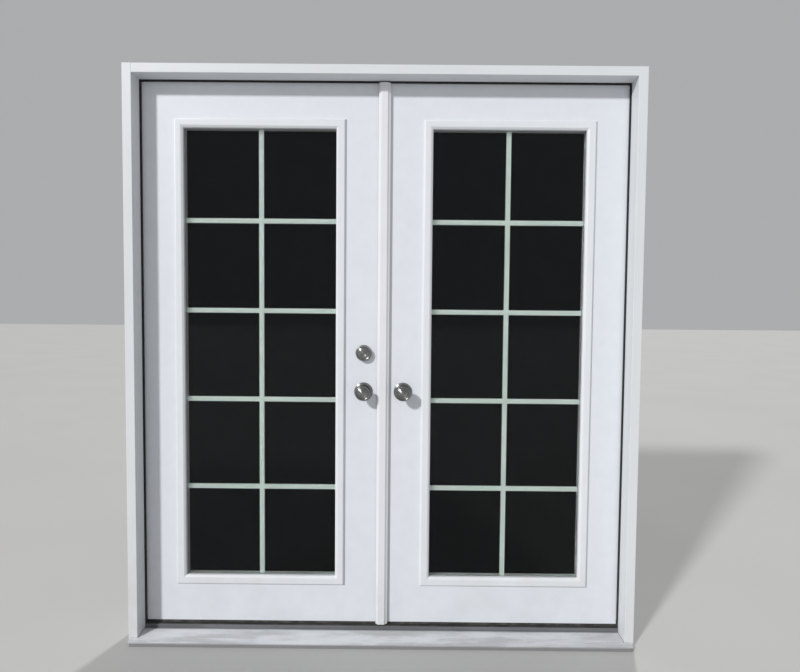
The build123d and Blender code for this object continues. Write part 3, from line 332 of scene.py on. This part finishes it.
def sill_metal(name):
    """Mill-finish aluminium with foot scratches, dull patches and grit between the ribs, and
    painted shade on the riser and along the jambs' foot.
    """
    material, tree, shader = new_material(name, Metallic=0.4, Specular_IOR_Level=0.3)
    place = object_place(tree)
    sideways, depth, _ = parts_of(tree, place)
    low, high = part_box("sill_deck")

    cuts = placed(tree, scratches, density=0.9)["Mask"]
    cloud = noise(tree, stretched(tree, place, (4.0, 22.0, 22.0)), 1.0, detail=6.0, roughness=0.65)
    dull = ranged(tree, cloud, 0.35, 0.7)
    grit = ranged(tree, noise(tree, place, 420.0, detail=3.0, roughness=0.7), 0.54, 0.76)

    ribs_passed = maths(tree, "DIVIDE", maths(tree, "SUBTRACT", depth, low.y), RIB_PITCH)
    grooves = ranged(tree, off_middle(tree, ribs_passed), 0.32, 0.26, to_high=0.3)
    between_ribs = maths(tree, "MULTIPLY", grooves, ranged(tree, dull, 0.2, 0.9))

    # Darker places: painted shade on the riser under the leaves, the nosing's front, and a
    # near-black line of painted shade in the crease where the jambs stand on the deck
    riser_foot, riser_face = high.y - 8.0 * MM, high.y - 2.2 * MM
    nosing_edge, nosing_face = low.y + 1.2 * MM, low.y + 0.3 * MM
    jamb_shade_fades, jamb_shade_full = 2.2 * MM, 1.2 * MM
    # Painted shade on the riser, under the closed leaves
    riser_painted_shade = ranged(tree, depth, riser_foot, riser_face, to_high=0.85)
    on_the_nosing = ranged(tree, depth, nosing_edge, nosing_face, to_high=0.8)
    # Painted shade: a near-black line in the crease where each jamb stands on the deck
    beside_jambs = ranged(
        tree, maths(tree, "ABSOLUTE", sideways), STOP_FACE - jamb_shade_fades, STOP_FACE - jamb_shade_full,
        to_high=0.8,
    )
    before_jambs = ranged(tree, depth, -jamb_shade_fades, -jamb_shade_full)

    colour = tint(tree, dull, (0.76, 0.77, 0.8), (0.62, 0.63, 0.65))
    for mask, layer in (
        (maths(tree, "MULTIPLY", grit, 0.22), (0.24, 0.23, 0.21)),
        (between_ribs, (0.2, 0.19, 0.17)),
        (cuts, (0.9, 0.9, 0.9)),
        (on_the_nosing, (0.2, 0.2, 0.2)),
        # painted shade in the crease at the jambs' foot
        (maths(tree, "MULTIPLY", beside_jambs, before_jambs), (0.06, 0.055, 0.05)),
        # painted shade on the riser
        (riser_painted_shade, (0.1, 0.105, 0.115)),
    ):
        colour = tint(tree, mask, colour, layer)
    tree.links.new(colour, shader["Base Color"])

    worn = maths(tree, "SUBTRACT", ranged(tree, dull, 0.0, 1.0, 0.52, 0.66),
                 maths(tree, "MULTIPLY", cuts, 0.12))
    rough = maths(tree, "ADD", worn, maths(tree, "MULTIPLY", grit, 0.15))
    tree.links.new(rough, shader["Roughness"])
    bumped(tree, shader, maths(tree, "SUBTRACT", grit, cuts), 0.15, 0.08 * MM)
    return material


def composite(name, colour, speck, specular):
    """Dense plastic with a fine grain."""
    material, tree, shader = new_material(name, Specular_IOR_Level=specular)
    place = object_place(tree)
    grain = noise(tree, place, 500.0, detail=4.0, roughness=0.65)
    dirt = placed(tree, dust, patch_size=18.0, top=0.2, amount=0.25)["Mask"]
    clean = tint(tree, ranged(tree, grain, 0.35, 0.68), colour, speck)
    tree.links.new(tint(tree, dirt, clean, (0.3, 0.28, 0.25)), shader["Base Color"])
    tree.links.new(ranged(tree, grain, 0.3, 0.7, 0.5, 0.68), shader["Roughness"])
    bumped(tree, shader, grain, 0.25, 0.15 * MM)
    return material


def spacer_metal(name):
    """Pale lacquered aluminium with the row of vent holes that spacer bar has."""
    holes_per_metre, hole_share, half_width = 160.0, 0.16, 0.9 * MM
    material, tree, shader = new_material(name, Metallic=0.2)
    place = object_place(tree)
    across, depth, height = parts_of(tree, place)
    run = maths(tree, "ADD", across, height)
    off_hole = off_middle(tree, maths(tree, "MULTIPLY", run, holes_per_metre))
    middle = (slab_front + slab_back) / 2
    off_row = maths(tree, "ABSOLUTE", maths(tree, "SUBTRACT", depth, middle))
    in_step = maths(tree, "LESS_THAN", off_hole, hole_share)
    in_row = maths(tree, "LESS_THAN", off_row, half_width)
    hole = maths(tree, "MULTIPLY", in_step, in_row)
    tree.links.new(tint(tree, hole, (0.82, 0.86, 0.84), (0.08, 0.08, 0.08)), shader["Base Color"])
    grain = noise(tree, place, 300.0, detail=3.0)
    tree.links.new(ranged(tree, grain, 0.3, 0.7, 0.4, 0.55), shader["Roughness"])
    return material


def floor_finish(name, colour):
    material, tree, shader = new_material(name, Specular_IOR_Level=0.2, Roughness=0.8)
    cloud = ranged(tree, noise(tree, object_place(tree), 0.8, detail=4.0), 0.3, 0.7)
    darker = tuple(0.97 * value for value in colour)
    tree.links.new(tint(tree, cloud, colour, darker), shader["Base Color"])
    return material


knob_axis = {hand: centre_of(f"{hand}_rose_outer") for hand in HANDS}
deadbolt_axis = centre_of("deadbolt_collar")

leaf_white = painted(
    "leaf paint", (0.77, 0.8, 0.85), (0.745, 0.775, 0.825),
    peel_size=240.0, roughness=0.38, dust_amount=0.22,
)
frame_white = painted(
    "frame paint", (0.74, 0.76, 0.785), (0.71, 0.73, 0.755),
    peel_size=300.0, roughness=0.44, dust_amount=0.55, stretch=(1.0, 1.0, 0.06),
)
head_white = painted(
    "head paint", (0.74, 0.76, 0.785), (0.71, 0.73, 0.755),
    peel_size=300.0, roughness=0.44, dust_amount=0.55, stretch=(0.06, 1.0, 1.0),
)
moulding_white = painted(
    "light moulding", (0.78, 0.8, 0.835), (0.76, 0.78, 0.815),
    peel_size=420.0, roughness=0.3, dust_amount=0.4,
)
astragal_white = painted(
    "astragal paint", (0.8, 0.815, 0.845), (0.775, 0.79, 0.82),
    peel_size=420.0, roughness=0.3, dust_amount=0.7, stretch=(1.0, 1.0, 0.05),
)
cap_white = painted(
    "astragal cap plastic", (0.76, 0.77, 0.785), (0.73, 0.74, 0.75),
    peel_size=600.0, roughness=0.45, dust_amount=0.3,
)
# The bars are coloured brighter than their paint: painted light standing in for the direct light
# that the outer pane keeps off them.
bar_white = painted(
    "grille bars", (0.89, 1.0, 0.94), (0.86, 0.98, 0.92),
    peel_size=420.0, roughness=0.4, dust_amount=0.0,
)
outer_glass = window_glass("outer glass", (0.97, 0.99, 0.98), 1.2)
# The inner pane's near-black tint is painted shade, standing in for the dark room behind the door.
inner_glass = window_glass("inner glass", (0.006, 0.007, 0.008), 1.1)
knob_nickel = {hand: satin_nickel(f"{hand} knob nickel", knob_axis[hand]) for hand in HANDS}
deadbolt_nickel = satin_nickel("deadbolt nickel", deadbolt_axis)
plate_nickel = brushed_plate("plate nickel", (0.47, 0.46, 0.44), (0.53, 0.52, 0.5), 0.28, 0.36)
bolt_steel = brushed_plate("bolt steel", (0.5, 0.5, 0.5), (0.64, 0.64, 0.64), 0.2, 0.34)
seal = black_seal("seal foam")
deck_metal = sill_metal("sill metal")
cap_composite = composite("threshold composite", (0.02, 0.02, 0.022), (0.035, 0.035, 0.036), 0.25)
core_composite = composite("sill core", (0.22, 0.215, 0.205), (0.3, 0.29, 0.28), 0.3)
spacer = spacer_metal("spacer metal")

NODE_FINISHES = {
    "head_jamb": head_white,
    "astragal": astragal_white,
    "astragal_end_caps": cap_white,
    "sill_deck": deck_metal,
    "sill_base": core_composite,
    "threshold_cap": cap_composite,
}
for finish, names in (
    (seal, ("corner_pads", "head_weatherstrip", "astragal_weatherstrip")),
    (plate_nickel, (
        "strike_plates", "hinge_pins", "frame_hinge_leaves", "latch_case", "deadbolt_case",
    )),
    (bolt_steel, (
        "frame_hinge_screws", "left_hinge_screws", "right_leaf_screws", "threshold_screws",
        "flush_bolt_strikes", "flush_bolt_upper", "flush_bolt_lower",
        "knob_spindle", "latch_bolt", "deadbolt",
    )),
    (deadbolt_nickel, (
        "deadbolt_collar", "deadbolt_key_plug", "deadbolt_turn_plate", "deadbolt_thumbturn",
    )),
):
    NODE_FINISHES.update(dict.fromkeys(names, finish))
for hand in HANDS:
    for finish, parts in (
        (leaf_white, ("slab",)),
        (frame_white, ("jamb",)),
        (seal, ("weatherstrip", "sweep")),
        (plate_nickel, ("hinge_leaves",)),
        (outer_glass, ("glass_outer",)),
        (inner_glass, ("glass_inner",)),
        (spacer, ("glass_spacer",)),
        (bar_white, ("grille",)),
        (moulding_white, ("light_frame_outer", "light_frame_inner", "light_screws")),
        (knob_nickel[hand], ("rose_outer", "rose_inner", "knob_outer", "knob_inner")),
    ):
        NODE_FINISHES.update({f"{hand}_{part}": finish for part in parts})
for name, node in nodes.items():
    node.data.materials.clear()
    node.data.materials.append(NODE_FINISHES[name])


# New pieces


def piece(name, bm, node, sharp=30.0, flat=()):
    """Makes a finished mesh into a piece that stands in for a CAD node, in that node's finish."""
    bmesh.ops.recalc_face_normals(bm, faces=bm.faces)
    for face in bm.faces:
        face.smooth = face not in flat
    for edge in bm.edges:
        edge.smooth = edge.calc_face_angle(pi) < radians(sharp)
    mesh = bpy.data.meshes.new(name)
    bm.to_mesh(mesh)
    bm.free()
    mesh.materials.append(NODE_FINISHES[node])
    made = bpy.data.objects.new(name, mesh)
    bpy.context.scene.collection.objects.link(made)
    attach(made, nodes[node]["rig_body"])
    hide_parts(node)


def edges_over(bm, angle, shortest=0.0):
    """The edges that turn by more than an angle in degrees and are longer than a length."""
    return [
        edge for edge in bm.edges
        if edge.calc_length() > shortest and edge.calc_face_angle(0.0) > radians(angle)
    ]


def edges_at(verts):
    """The edges that meet some corners, each of them once and in a steady order."""
    return list(dict.fromkeys(edge for vert in verts for edge in vert.link_edges))


def rounded(bm, edges, width, segments, clamp=True):
    """Rounds some edges and gives back the faces this makes."""
    return bmesh.ops.bevel(
        bm, geom=edges, offset=width, offset_type="OFFSET", segments=segments, profile=0.5,
        affect="EDGES", clamp_overlap=clamp, material=-1,
    )["faces"]


def joined(bm):
    bmesh.ops.remove_doubles(bm, verts=bm.verts, dist=SEAM)


def merged_copy(node):
    """A CAD node's mesh with its corners joined and its flat faces made whole."""
    bm = bmesh.new()
    bm.from_mesh(nodes[node].data)
    joined(bm)
    bmesh.ops.dissolve_limit(bm, angle_limit=radians(0.5), verts=bm.verts, edges=bm.edges)
    return bm


def softened(node, bm, width, segments):
    """Rounds the long edges of a merged copy, keeps its faces flat and shows it for its node."""
    corner_angle, long_edge = 40, 0.3
    edges = edges_over(bm, corner_angle, long_edge)
    strips = set(rounded(bm, edges, width, segments, clamp=False))
    piece(f"soft_{node}", bm, node, sharp=50.0, flat=set(bm.faces) - strips)


def grooved_sill():
    """The deck with a drip groove along its nosing."""
    top, bottom, depth, draft = 12.6 * MM, 11.0 * MM, 1.0 * MM, 0.05 * MM
    bm = merged_copy("sill_deck")
    front = min(vert.co.y for vert in bm.verts)
    for height in (top, bottom):
        bmesh.ops.bisect_plane(
            bm, geom=bm.verts[:] + bm.edges[:] + bm.faces[:], dist=SEAM / 2,
            plane_co=(0, 0, height), plane_no=(0, 0, 1),
        )

    def on_the_strip(face):
        middle = face.calc_center_median()
        looks_forward = face.normal.y < -0.9
        return looks_forward and middle.y - front < 0.01 * MM and bottom < middle.z < top

    strip = [face for face in bm.faces if on_the_strip(face)]
    bmesh.ops.inset_region(bm, faces=strip, thickness=draft, depth=-depth)
    return bm


def turned(profile, centre, outward, steps=96):
    """A profile of (radius, height) in millimetres, spun about an axis along Y."""
    bm = bmesh.new()
    verts = [bm.verts.new((radius * MM, outward * height * MM, 0)) for radius, height in profile]
    edges = [bm.edges.new(pair) for pair in zip(verts, verts[1:])]
    bmesh.ops.spin(
        bm, geom=verts + edges, cent=(0, 0, 0), axis=(0, 1, 0), dvec=(0, 0, 0),
        angle=2 * pi, steps=steps, use_merge=True,
    )
    joined(bm)
    bmesh.ops.dissolve_degenerate(bm, edges=bm.edges, dist=SEAM / 2)
    bmesh.ops.translate(bm, verts=bm.verts, vec=centre)
    return bm


def arc(centre_radius, centre_height, radius, start, end, count):
    """Points on an arc in a turned profile; angles in degrees from outwards to forwards."""
    angles = [radians(start + (end - start) * step / (count - 1)) for step in range(count)]
    return [(centre_radius + radius * cos(a), centre_height + radius * sin(a)) for a in angles]


# Turned profiles: radius and height over the leaf's face, in millimetres
KNOB_PROFILE = (
    [(0, 0), (10.4, 0), (10.4, 12.0), (10.7, 12.6), (12.4, 12.8)]
    + arc(12.4, 14.2, 1.4, -90, 90, 7)
    + [(11.0, 15.8), (10.4, 16.4), (9.9, 18.0), (9.8, 22.0), (10.2, 26.0), (11.6, 29.6)]
    + [(14.0, 32.6), (17.2, 35.4), (20.4, 38.2), (22.8, 41.2), (24.4, 44.2), (25.2, 47.2)]
    + [(25.4, 49.4), (25.3, 51.4), (24.9, 52.8)]
    + arc(23.4, 54.0, 1.6, -20, 190, 12)
    + [(21.3, 52.9), (20.6, 52.6), (19.9, 52.8), (18.6, 53.6), (16.9, 54.5), (15.4, 55.1)]
    + [(14.6, 55.2), (14.1, 54.9), (13.5, 55.0), (12.8, 55.8), (11.0, 56.5), (8.5, 57.1)]
    + [(5.5, 57.6), (2.5, 57.9), (0, 58.0)]
)
ROSE_PROFILE = (
    [(10.9, 0), (33.1, 0), (33.3, 0.3), (33.3, 1.5)]
    + arc(31.6, 1.9, 1.7, 0, 55, 5)
    + [(31.6, 3.6), (31.0, 3.9)]
    + arc(27.0, 3.9, 4.0, 10, 88, 8)
    + [(24.4, 7.95), (22.6, 7.8), (22.1, 7.4), (21.6, 6.8), (20.8, 6.5), (15.0, 6.7), (10.9, 6.8)]
    + [(10.9, 0)]
)
COLLAR_PROFILE = (
    [(7.6, 0), (28.8, 0), (29.0, 0.3), (29.0, 2.4)]
    + arc(28.2, 2.6, 0.8, 0, 70, 4)
    + [(27.9, 3.9), (27.5, 7.5), (26.9, 12.5), (26.3, 17.0)]
    + arc(24.5, 18.2, 1.8, -15, 190, 12)
    + [(22.2, 17.2), (21.4, 16.9), (20.6, 17.1), (18.6, 17.9), (16.0, 18.7), (13.6, 19.2)]
    + [(11.8, 19.4), (10.9, 19.3), (10.3, 18.8), (9.8, 18.6), (7.6, 18.6), (7.6, 0)]
)
TURN_PLATE_PROFILE = (
    [(6.9, 0), (29.8, 0), (30.0, 0.3), (30.0, 2.0)]
    + arc(28.4, 2.4, 1.6, 0, 60, 5)
    + [(28.6, 4.0)]
    + arc(24.4, 4.2, 3.8, 5, 88, 8)
    + [(14.0, 7.9), (12.8, 7.7), (12.2, 7.0), (11.4, 6.8), (6.9, 6.8), (6.9, 0)]
)


def knobs_and_roses():
    for hand in HANDS:
        for face, (face_y, outward) in LEAF_FACES.items():
            centre = Vector((knob_axis[hand].x, face_y, knob_axis[hand].z))
            for part, profile in (("knob", KNOB_PROFILE), ("rose", ROSE_PROFILE)):
                node = f"{hand}_{part}_{face}"
                piece(f"turned_{node}", turned(profile, centre, outward), node)


def deadbolt_trim():
    x, z = deadbolt_axis.x, deadbolt_axis.z
    collar = turned(COLLAR_PROFILE, Vector((x, slab_front, z)), -1)
    piece("turned_collar", collar, "deadbolt_collar")
    plate = turned(TURN_PLATE_PROFILE, Vector((x, slab_back, z)), 1)
    piece("turned_turn_plate", plate, "deadbolt_turn_plate")


def upright_bar(bm, foot_radius, tip_radius, bottom, top, sides=48):
    """A round bar or taper along Z between two heights; gives back its corners."""
    made = bmesh.ops.create_cone(
        bm, cap_ends=True, segments=sides, radius1=foot_radius, radius2=tip_radius,
        depth=top - bottom,
    )["verts"]
    bmesh.ops.translate(bm, verts=made, vec=(0, 0, (bottom + top) / 2))
    return made


def thumbturn():
    """Round hub with a flat oval wing, softly rounded."""
    hub_radius, wing_foot, wing_tip, half_run = 6.4 * MM, 3.45 * MM, 2.55 * MM, 13.0 * MM
    start, shoulder, end, overlap = 0.3 * MM, 9.2 * MM, 24.0 * MM, 1.0 * MM
    bm = bmesh.new()
    upright_bar(bm, hub_radius, hub_radius, start, shoulder)
    for vert in upright_bar(bm, wing_foot, wing_tip, shoulder - overlap, end):
        vert.co.y += half_run if vert.co.y > 0 else -half_run
    rounded(bm, edges_over(bm, 50), 0.9 * MM, 3)
    bmesh.ops.transform(bm, verts=bm.verts, matrix=facing_matrix(Vector((0, 1, 0))))
    place = Vector((deadbolt_axis.x, slab_back, deadbolt_axis.z))
    bmesh.ops.translate(bm, verts=bm.verts, vec=place)
    piece("rounded_thumbturn", bm, "deadbolt_thumbturn")


def facing_matrix(direction):
    """Turns +Z towards a direction, with Y kept as upright as it can be."""
    up = Vector((0, 1, 0)) if abs(direction.z) > 0.9 else Vector((0, 0, 1))
    side = up.cross(direction).normalized()
    turn = Matrix((side, direction.cross(side), direction)).transposed()
    return turn.to_4x4()


# The light moulding's section: steps in from its edge and up from the leaf, in millimetres
LIGHT_STEPS = (
    [(0.0, 0.0), (0.0, 3.2), (0.15, 3.9), (0.55, 4.35), (1.2, 4.7), (2.0, 5.6), (2.9, 7.0)]
    + [(3.8, 8.0), (5.0, 8.7), (6.4, 9.0), (7.4, 9.0), (21.8, 9.0), (22.8, 9.0), (24.0, 8.85)]
    + [(25.4, 8.4), (27.0, 7.5), (29.0, 6.2), (30.9, 4.9), (32.3, 4.0), (33.1, 3.1), (33.5, 1.8)]
    + [(33.5, -9.25)]
)
LIGHT_BACK_STEPS = [(0, 0), (20, 0), (20, -22), (24.5, -22), (24.5, -9.25), (33.5, -9.25)]


def light_moulding(node, outward):
    """Two rectangles inset step by step into the front and the back of the mitred section."""
    low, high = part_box(node)
    middle = (low + high) / 2
    face_y = slab_back if outward > 0 else slab_front
    bm = bmesh.new()
    for steps in (LIGHT_STEPS, LIGHT_BACK_STEPS):
        corners = bmesh.ops.create_grid(bm, x_segments=1, y_segments=1, size=0.5)["verts"]
        bmesh.ops.scale(bm, vec=(high.x - low.x, high.z - low.z, 1), verts=corners)
        pane = corners[0].link_faces[0]
        for (inset, rise), (next_inset, next_rise) in zip(steps, steps[1:]):
            bmesh.ops.inset_region(
                bm, faces=[pane], thickness=(next_inset - inset) * MM,
                depth=(next_rise - rise) * MM, use_boundary=True, use_even_offset=True,
            )
        bmesh.ops.delete(bm, geom=[pane], context="FACES_ONLY")
    joined(bm)
    bmesh.ops.transform(bm, verts=bm.verts, matrix=facing_matrix(Vector((0, outward, 0))))
    bmesh.ops.translate(bm, verts=bm.verts, vec=(middle.x, face_y, middle.z))
    return bm


def light_mouldings():
    for hand in HANDS:
        for face, (_, outward) in LEAF_FACES.items():
            node = f"{hand}_light_frame_{face}"
            moulding = light_moulding(node, outward)
            if face == "inner":
                screw_covers(moulding, hand)
            piece(f"moulded_{node}", moulding, node)


def solids_in(node):
    """Lowest and highest corners of each loose solid in a CAD node, sorted."""
    bm = bmesh.new()
    bm.from_mesh(nodes[node].data)
    joined(bm)
    waiting = set(bm.verts)
    boxes = []
    while waiting:
        found = [waiting.pop()]
        for vert in found:
            near = {edge.other_vert(vert) for edge in vert.link_edges} & waiting
            waiting -= near
            found.extend(near)
        low = Vector([min(vert.co[axis] for vert in found) for axis in range(3)])
        high = Vector([max(vert.co[axis] for vert in found) for axis in range(3)])
        boxes.append((low, high))
    bm.free()
    return sorted(boxes, key=lambda box: tuple(round(value, 4) for value in box[0]))


# The cross recess: radii round one of its arms, for a head of 4.2 mm in radius, in millimetres
RECESS_RADII = (2.1, 1.75, 0.85, 0.7, 0.85, 1.75)
RECESS_HEAD_RADIUS = 4.2


def cross_head_screw(bm, place, direction, head_radius, shank_radius, head_height, length):
    """Countersunk screw with a cross recess; its face is at place and looks along direction."""
    sides, recess_depth, recess_taper, edge_height = 24, 1.3 * MM, 0.55, 0.35 * MM
    flat_radius = head_radius - 0.3 * MM
    rim = bmesh.ops.create_circle(bm, segments=sides, radius=flat_radius)["verts"]
    cross = bmesh.ops.create_circle(bm, segments=sides, radius=head_radius)["verts"]
    for index, vert in enumerate(cross):
        vert.co *= RECESS_RADII[index % len(RECESS_RADII)] / RECESS_HEAD_RADIUS
    rim_edges, cross_edges = edges_at(rim), edges_at(cross)
    bmesh.ops.bridge_loops(bm, edges=rim_edges + cross_edges)
    made = set(rim) | set(cross)
    recess = extruded_loop(bm, cross_edges, recess_taper, -recess_depth)
    bmesh.ops.contextual_create(bm, geom=recess)
    brim = extruded_loop(bm, rim_edges, head_radius / flat_radius, -edge_height)
    neck = extruded_loop(bm, brim, shank_radius / head_radius, -head_height)
    tip = extruded_loop(bm, neck, 1, head_height + edge_height - length)
    bmesh.ops.contextual_create(bm, geom=tip)
    for loop in (recess, brim, neck, tip):
        made |= {vert for edge in loop for vert in edge.verts}
    turn = Matrix.Translation(place) @ facing_matrix(direction)
    bmesh.ops.transform(bm, verts=list(made), matrix=turn)


def extruded_loop(bm, edges, scale, rise):
    """Extrudes a loop of edges straight up or down, scaled about its own middle."""
    made = bmesh.ops.extrude_edge_only(bm, edges=edges)["geom"]
    verts = [part for part in made if isinstance(part, bmesh.types.BMVert)]
    bmesh.ops.scale(bm, vec=(scale, scale, 1), verts=verts)
    bmesh.ops.translate(bm, vec=(0, 0, rise), verts=verts)
    return [part for part in made if isinstance(part, bmesh.types.BMEdge)]


def screws(node, direction_at):
    """New cross-head screws where a CAD node has its plain ones."""
    shank_share, head_height_share = 0.5, 0.55  # of the head's radius
    bm = bmesh.new()
    for low, high in solids_in(node):
        middle, size = (low + high) / 2, high - low
        direction = direction_at(middle)
        length = abs(size.dot(direction))
        head_radius = min(size) / 2
        cross_head_screw(
            bm, middle + direction * length / 2, direction, head_radius,
            head_radius * shank_share, head_radius * head_height_share, length,
        )
    piece(f"cross_head_{node}", bm, node, sharp=25.0)


def all_screws():
    astragal_reach = 0.1  # the right leaf's screws nearer the middle than this hold the astragal

    def towards_middle(place):
        return Vector((1, 0, 0)) if place.x < 0 else Vector((-1, 0, 0))

    def out_of_the_leaf(place):
        return Vector((-1, 0, 0)) if place.x < astragal_reach else Vector((1, 0, 0))

    screws("frame_hinge_screws", towards_middle)
    screws("left_hinge_screws", out_of_the_leaf)
    screws("right_leaf_screws", out_of_the_leaf)
    screws("threshold_screws", lambda place: Vector((0, 0, 1)))


def screw_covers(bm, hand):
    """Round plugs over the screws of the inside moulding, a little proud of its face."""
    hole_radius, proud, top_round = 3.8 * MM, 0.4 * MM, 0.3 * MM
    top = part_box(f"{hand}_light_frame_inner")[1].y + proud
    rims = []
    for low, high in solids_in(f"{hand}_light_screws"):
        plug = upright_bar(bm, hole_radius, hole_radius, 0, top - high.y, sides=40)
        place = Vector(((low.x + high.x) / 2, high.y, (low.z + high.z) / 2))
        turn = Matrix.Translation(place) @ facing_matrix(Vector((0, 1, 0)))
        bmesh.ops.transform(bm, verts=plug, matrix=turn)
        rims += [
            edge for edge in edges_at(plug)
            if all(vert.co.y > top - top_round for vert in edge.verts)
        ]
    rounded(bm, rims, top_round, 3)


knobs_and_roses()
deadbolt_trim()
thumbturn()
light_mouldings()
all_screws()
for name in ("left_jamb", "right_jamb", "head_jamb"):
    softened(name, merged_copy(name), 0.8 * MM, 2)
softened("astragal", merged_copy("astragal"), 0.7 * MM, 3)
softened("sill_deck", grooved_sill(), 0.25 * MM, 2)


# Floor, light and camera


def studio():
    """A pale floor, a plain pale surround and two far lamps, front left and back right."""
    floor_reach, floor_drop, lamp_angle = 40.0, 0.2 * MM, 5
    scene = bpy.context.scene
    bm = bmesh.new()
    bmesh.ops.create_grid(bm, x_segments=1, y_segments=1, size=floor_reach)
    bmesh.ops.translate(bm, verts=bm.verts, vec=(0, 0, -floor_drop))
    mesh = bpy.data.meshes.new("floor")
    bm.to_mesh(mesh)
    bm.free()
    mesh.materials.append(floor_finish("floor", (0.5, 0.496, 0.488)))
    floor = bpy.data.objects.new("floor", mesh)
    scene.collection.objects.link(floor)

    world = bpy.data.worlds.new("surround")
    world.use_nodes = True
    background = world.node_tree.nodes["Background"]
    background.inputs["Color"].default_value = (0.98, 0.99, 1.0, 1)
    background.inputs["Strength"].default_value = 0.42
    scene.world = world

    for name, towards_lamp, strength in (
        ("key", (-3.4, -4.2, 3.0), 2.34),
        ("back", (1.5, 4.6, 4.4), 1.3),
    ):
        light = bpy.data.lights.new(name, "SUN")
        light.energy = strength
        light.angle = radians(lamp_angle)
        lamp = bpy.data.objects.new(name, light)
        lamp.rotation_euler = (-Vector(towards_lamp)).to_track_quat("-Z", "Y").to_euler()
        scene.collection.objects.link(lamp)
    scene.view_settings.view_transform = "Standard"


def camera():
    """The photograph's viewpoint: just under 2 m in front, at chest height."""
    image_width, focal_pixels, sensor_width = 800, 561.2, 36.0
    place = Vector((0.0646, -1.9448, 1.1838))
    yaw, pitch, roll = radians(-0.155), radians(2.509), radians(0.494)
    forward = Vector((sin(yaw) * cos(pitch), cos(yaw) * cos(pitch), -sin(pitch)))
    level_right = Vector((cos(yaw), -sin(yaw), 0))
    level_up = level_right.cross(forward)
    right = level_right * cos(roll) + level_up * sin(roll)
    up = level_up * cos(roll) - level_right * sin(roll)
    data = bpy.data.cameras.new("camera")
    data.sensor_fit = "HORIZONTAL"
    data.sensor_width = sensor_width
    data.lens = sensor_width * focal_pixels / image_width
    made = bpy.data.objects.new("camera", data)
    turn = Matrix((right, up, -forward)).transposed().to_4x4()
    made.matrix_world = Matrix.Translation(place) @ turn
    bpy.context.scene.collection.objects.link(made)
    bpy.context.scene.camera = made


studio()
camera()
